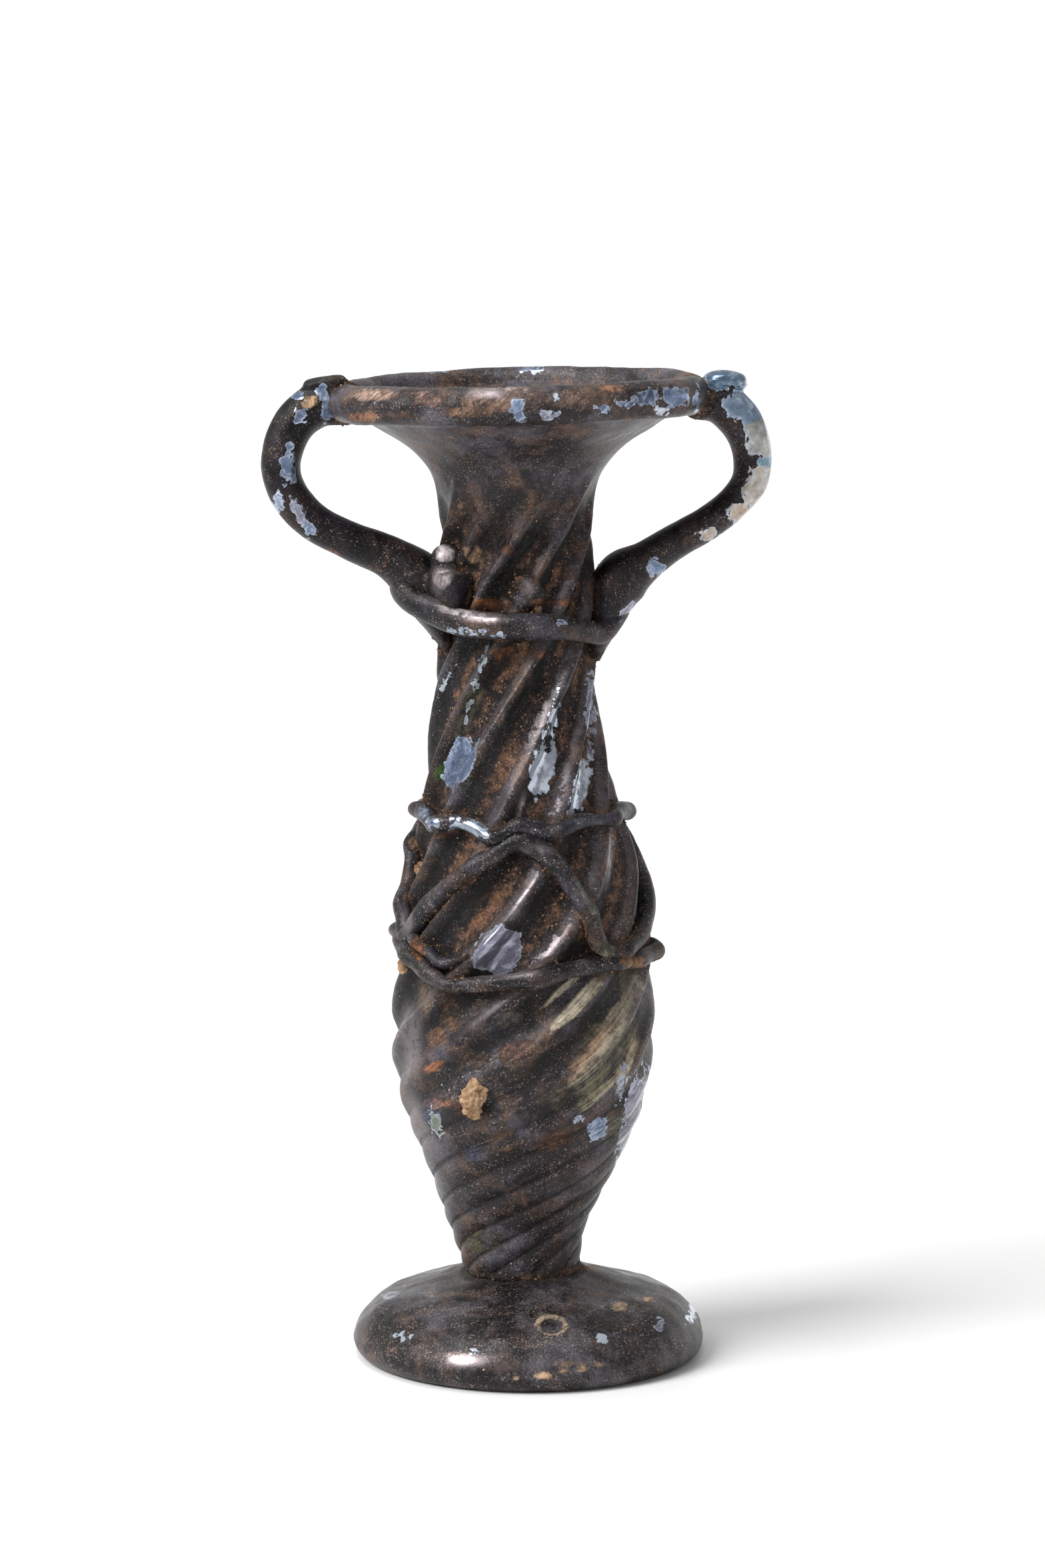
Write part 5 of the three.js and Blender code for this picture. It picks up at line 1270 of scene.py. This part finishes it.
# Each piece's soil, and the painted shade in its creases and where it meets another piece
for name, piece in glass.items():
    points = read_points(piece)
    nearest = fittings if name == "vessel" else wall_points
    away = np.array([nearest.find(point)[2] for point in points])
    soil = MOST_SOIL * ease(away, CREVICE, 0.4)
    # Painted shade where the piece comes close to another
    painted_shade = 0.85 * ease(away, 1.5, 0.2)
    if name == "vessel":
        up, off_axis = points[:, 2], points[:, 0] - shift(points[:, 2])
        angle = np.arctan2(off_axis, -points[:, 1])
        is_out = np.hypot(off_axis, points[:, 1]) > outline_radius(up) - 1.2
        ribbed = rib_strength(up) * is_out
        # Painted shade: a groove is darkened on its side away from the crests' rubbed faces, where
        # the ribs' shade falls, and low down, where the ribs are broad, only the crease between
        # them is
        lee_shade = crest(angle - math.radians(13), up) * ribbed
        painted_shade = np.maximum(painted_shade, np.clip(lee_shade, 0, 1) ** 1.5)
        low = ease(up, 60, 44) * is_out
        painted_shade = np.maximum(painted_shade, 0.75 * low * ease(crest(angle, up), 0.16, 0.0))
        # Soil stayed longest between the neck trail and the lower ring
        groove = crest(angle + math.radians(15), up) * ribbed
        held = ease(up, 55, 68) * (1 - 0.6 * ease(up, 118, 135))
        soil = np.maximum(soil, groove * (0.16 + 0.3 * held))
    if name == "foot":
        soil *= 0.8
    row_attribute(piece, "soil", soil)
    row_attribute(piece, "painted_shade", painted_shade)

# Crumbs of soil: rough little lumps scattered where the soil is thick
crumb_tree, sizes = new_tree("crumbs_of_soil", [
    ("Density", "Float"), ("Least", "Float"), ("Smallest", "Float"), ("Largest", "Float"),
    ("Seed", "Int"), ("Material", "Material")])
soil_value = add(crumb_tree, "GeometryNodeInputNamedAttribute", {"Name": "soil"}, data_type="FLOAT")
thick = add(crumb_tree, "ShaderNodeMapRange", {
    "Value": soil_value, "From Min": sizes["Least"], "From Max": MOST_SOIL,
    "To Max": sizes["Density"]})
flake_value = add(crumb_tree, "GeometryNodeInputNamedAttribute", {"Name": "flake"},
                  data_type="FLOAT")
whole_skin = add(crumb_tree, "ShaderNodeMath", {0: flake_value, 1: -1.0}, operation="LESS_THAN")
thick = add(crumb_tree, "ShaderNodeMath", {0: thick, 1: whole_skin}, operation="MULTIPLY")
spots = add(crumb_tree, "GeometryNodeDistributePointsOnFaces", {
    "Mesh": crumb_tree.nodes["Group Input"].outputs[0], "Density": thick, "Seed": sizes["Seed"]})
lump = add(crumb_tree, "GeometryNodeMeshIcoSphere", {"Radius": 1.0, "Subdivisions": 1})
size = add(crumb_tree, "FunctionNodeRandomValue", {
    2: sizes["Smallest"], 3: sizes["Largest"], "Seed": sizes["Seed"]}, out=1)
turned_by = add(crumb_tree, "FunctionNodeRandomValue", {
    0: (0, 0, 0), 1: (6.3, 6.3, 6.3), "Seed": 7}, data_type="FLOAT_VECTOR")
squash = add(crumb_tree, "FunctionNodeRandomValue", {
    0: (0.5, 0.5, 0.4), 1: (1.3, 1.0, 0.8), "Seed": 3}, data_type="FLOAT_VECTOR")
scale = add(crumb_tree, "ShaderNodeVectorMath", {0: squash, "Scale": size}, operation="SCALE")
laid_out = add(crumb_tree, "GeometryNodeInstanceOnPoints", {
    "Points": spots, "Instance": lump, "Rotation": turned_by, "Scale": scale})
close_tree(crumb_tree, laid_out, sizes["Material"])


def dry_earth(name, dark, pale):
    """Dry clay and sand, rough and dull, in two browns that meet in ragged patches. Its grit is
    drawn at 0.4 mm, a few times coarser than it is, so that it shows."""
    material = bpy.data.materials.new(name)
    material.use_nodes = True
    tree = material.node_tree
    shader = tree.nodes["Principled BSDF"]
    spot = add(tree, "ShaderNodeTexCoord", out="Object")
    patches = add(tree, "ShaderNodeTexNoise", {"Vector": spot, "Scale": 1 / (2 * MM), "Detail": 9.0,
                                               "Roughness": 0.75})
    share = add(tree, "ShaderNodeMapRange", {"Value": patches, "From Min": 0.36, "From Max": 0.6})
    colour = add(tree, "ShaderNodeMix", {0: share, 6: srgb(dark), 7: srgb(pale)}, out=2,
                 data_type="RGBA")
    tree.links.new(colour, shader.inputs["Base Color"])
    grit = add(tree, "ShaderNodeTexNoise", {"Vector": spot, "Scale": 1 / (0.4 * MM), "Detail": 6.0,
                                            "Roughness": 0.7})
    normal = add(tree, "ShaderNodeBump", {"Height": grit, "Strength": 0.8, "Distance": 0.4 * MM})
    tree.links.new(normal, shader.inputs["Normal"])
    shader.inputs["Roughness"].default_value = 0.95
    shader.inputs["Specular IOR Level"].default_value = 0.2
    return material


# The crumbs took up the dark of the skin, and the lumps kept the rusty colour of the ground
crumb_earth = dry_earth("dark_earth_crumbs", "4a382f", "98785e")
lump_earth = dry_earth("rusty_earth_lump", "6a4832", "bfa07f")

# Where crumbs lie: [piece, crumbs to the square millimetre, seed]
CRUMBS = [("vessel", 1.3, 3), ("neck", 0.9, 5), ("zigzag_trail", 0.8, 6), ("lower_trail", 0.8, 7),
          ("left", 0.8, 8), ("right", 0.8, 9)]
for name, density, seed in CRUMBS:
    crumbs = bpy.data.objects.new("soil_on_" + name, glass[name].data.copy())
    bpy.context.collection.objects.link(crumbs)
    grown(crumbs, crumb_tree, {
        "Density": density / MM ** 2, "Least": 0.36, "Smallest": 0.08 * MM, "Largest": 0.3 * MM,
        "Seed": seed, "Material": crumb_earth})
    smooth_shaded(crumbs)
    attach(crumbs, "root")

# Lumps of earth still stuck on: [degrees, height, half width, half height]
LUMPS = [(-22.2, 43.2, 2.0, 3.1), (-86, 75.3, 1.1, 1.3), (-67, 61.8, 0.9, 1.3),
         (17, 116.0, 0.8, 0.6)]
LUMP_STEPS = 25
for number, (degrees, high, wide, tall) in enumerate(LUMPS):
    lump_turn = math.radians(degrees)
    lump_spot = place(wall_radius(lump_turn, high) + 0.15 * wide, lump_turn, high)
    lump_share = np.linspace(-1, 1, LUMP_STEPS)
    lump_rows = lump_spot + lump_share[:, None] * np.array([0.17 * tall, 0, tall])
    lump_half = wide * np.sqrt(np.maximum(0.01, 1 - lump_share ** 2))
    name = f"soil_lump_{number + 1}"
    lump_piece = thread(name, lump_rows, np.tile(TOWARDS_FRONT, (LUMP_STEPS, 1)),
                        np.stack([lump_half, lump_half], axis=1), sides=40)
    lump_piece = fused(name, [lump_piece], 0.1 * wide, 2)
    lump_points = read_points(lump_piece)
    push_out(lump_piece, 0.35 * wide * cloud(lump_points, 1.1 * wide, 5.0)
             + 0.2 * wide * cloud(lump_points, 0.3 * wide, 8.0))
    lump_piece.data.materials.clear()
    lump_piece.data.materials.append(lump_earth)
    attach(lump_piece, "root")


# THE FLOOR AND THE LIGHT
# Seamless white paper that curves up all round, a broad light from the left and the front, a small
# soft one overhead, and a pale room.
FLOOR_REACH, COVE_RADIUS, COVE_HEIGHT, FLOOR_SIDES = 1500, 500, 450, 96
bend = np.linspace(0, math.acos(1 - COVE_HEIGHT / COVE_RADIUS), 24)
sweep = np.stack([FLOOR_REACH + COVE_RADIUS * np.sin(bend), COVE_RADIUS * (1 - np.cos(bend))],
                 axis=1)
turns = np.arange(FLOOR_SIDES) / FLOOR_SIDES * 2 * math.pi
floor_points = [(r * math.cos(a), r * math.sin(a), h) for r, h in sweep for a in turns]
floor_faces = [(ring * FLOOR_SIDES + i, (ring + 1) * FLOOR_SIDES + i,
                (ring + 1) * FLOOR_SIDES + (i + 1) % FLOOR_SIDES,
                ring * FLOOR_SIDES + (i + 1) % FLOOR_SIDES)
               for ring in range(len(sweep) - 1) for i in range(FLOOR_SIDES)]
floor = new_mesh("floor", floor_points, faces=[tuple(range(FLOOR_SIDES)), *floor_faces])
smooth_shaded(floor)

paper = bpy.data.materials.new("white_paper")
paper.use_nodes = True
paper.node_tree.nodes["Principled BSDF"].inputs["Base Color"].default_value = srgb("e8e8e8")
floor.data.materials.append(paper)

world = bpy.data.worlds.new("studio")
bpy.context.scene.world = world
world.use_nodes = True
world.node_tree.nodes["Background"].inputs["Color"].default_value = (1, 1, 1, 1)
world.node_tree.nodes["Background"].inputs["Strength"].default_value = 0.5
# Shown as a plain photograph, with paper that is lit to white
bpy.context.scene.view_settings.view_transform = "Standard"


def soft_box(name, spot, target, size, power):
    """A square area light that faces a target."""
    data = bpy.data.lights.new(name, "AREA")
    data.size = size
    data.energy = power
    light = bpy.data.objects.new(name, data)
    light.location = spot
    light.rotation_euler = (Vector(target) - Vector(spot)).to_track_quat("-Z", "Y").to_euler()
    bpy.context.collection.objects.link(light)


sun = bpy.data.lights.new("window", "SUN")
sun.energy, sun.angle = 3.8, math.radians(34)
window = bpy.data.objects.new("window", sun)
window.rotation_euler = Vector((-0.78, -0.46, 0.82)).to_track_quat("Z", "Y").to_euler()
bpy.context.collection.objects.link(window)
soft_box("top", (-0.15, 0.05, 0.9), (0, 0, 0.1), 0.4, 3)
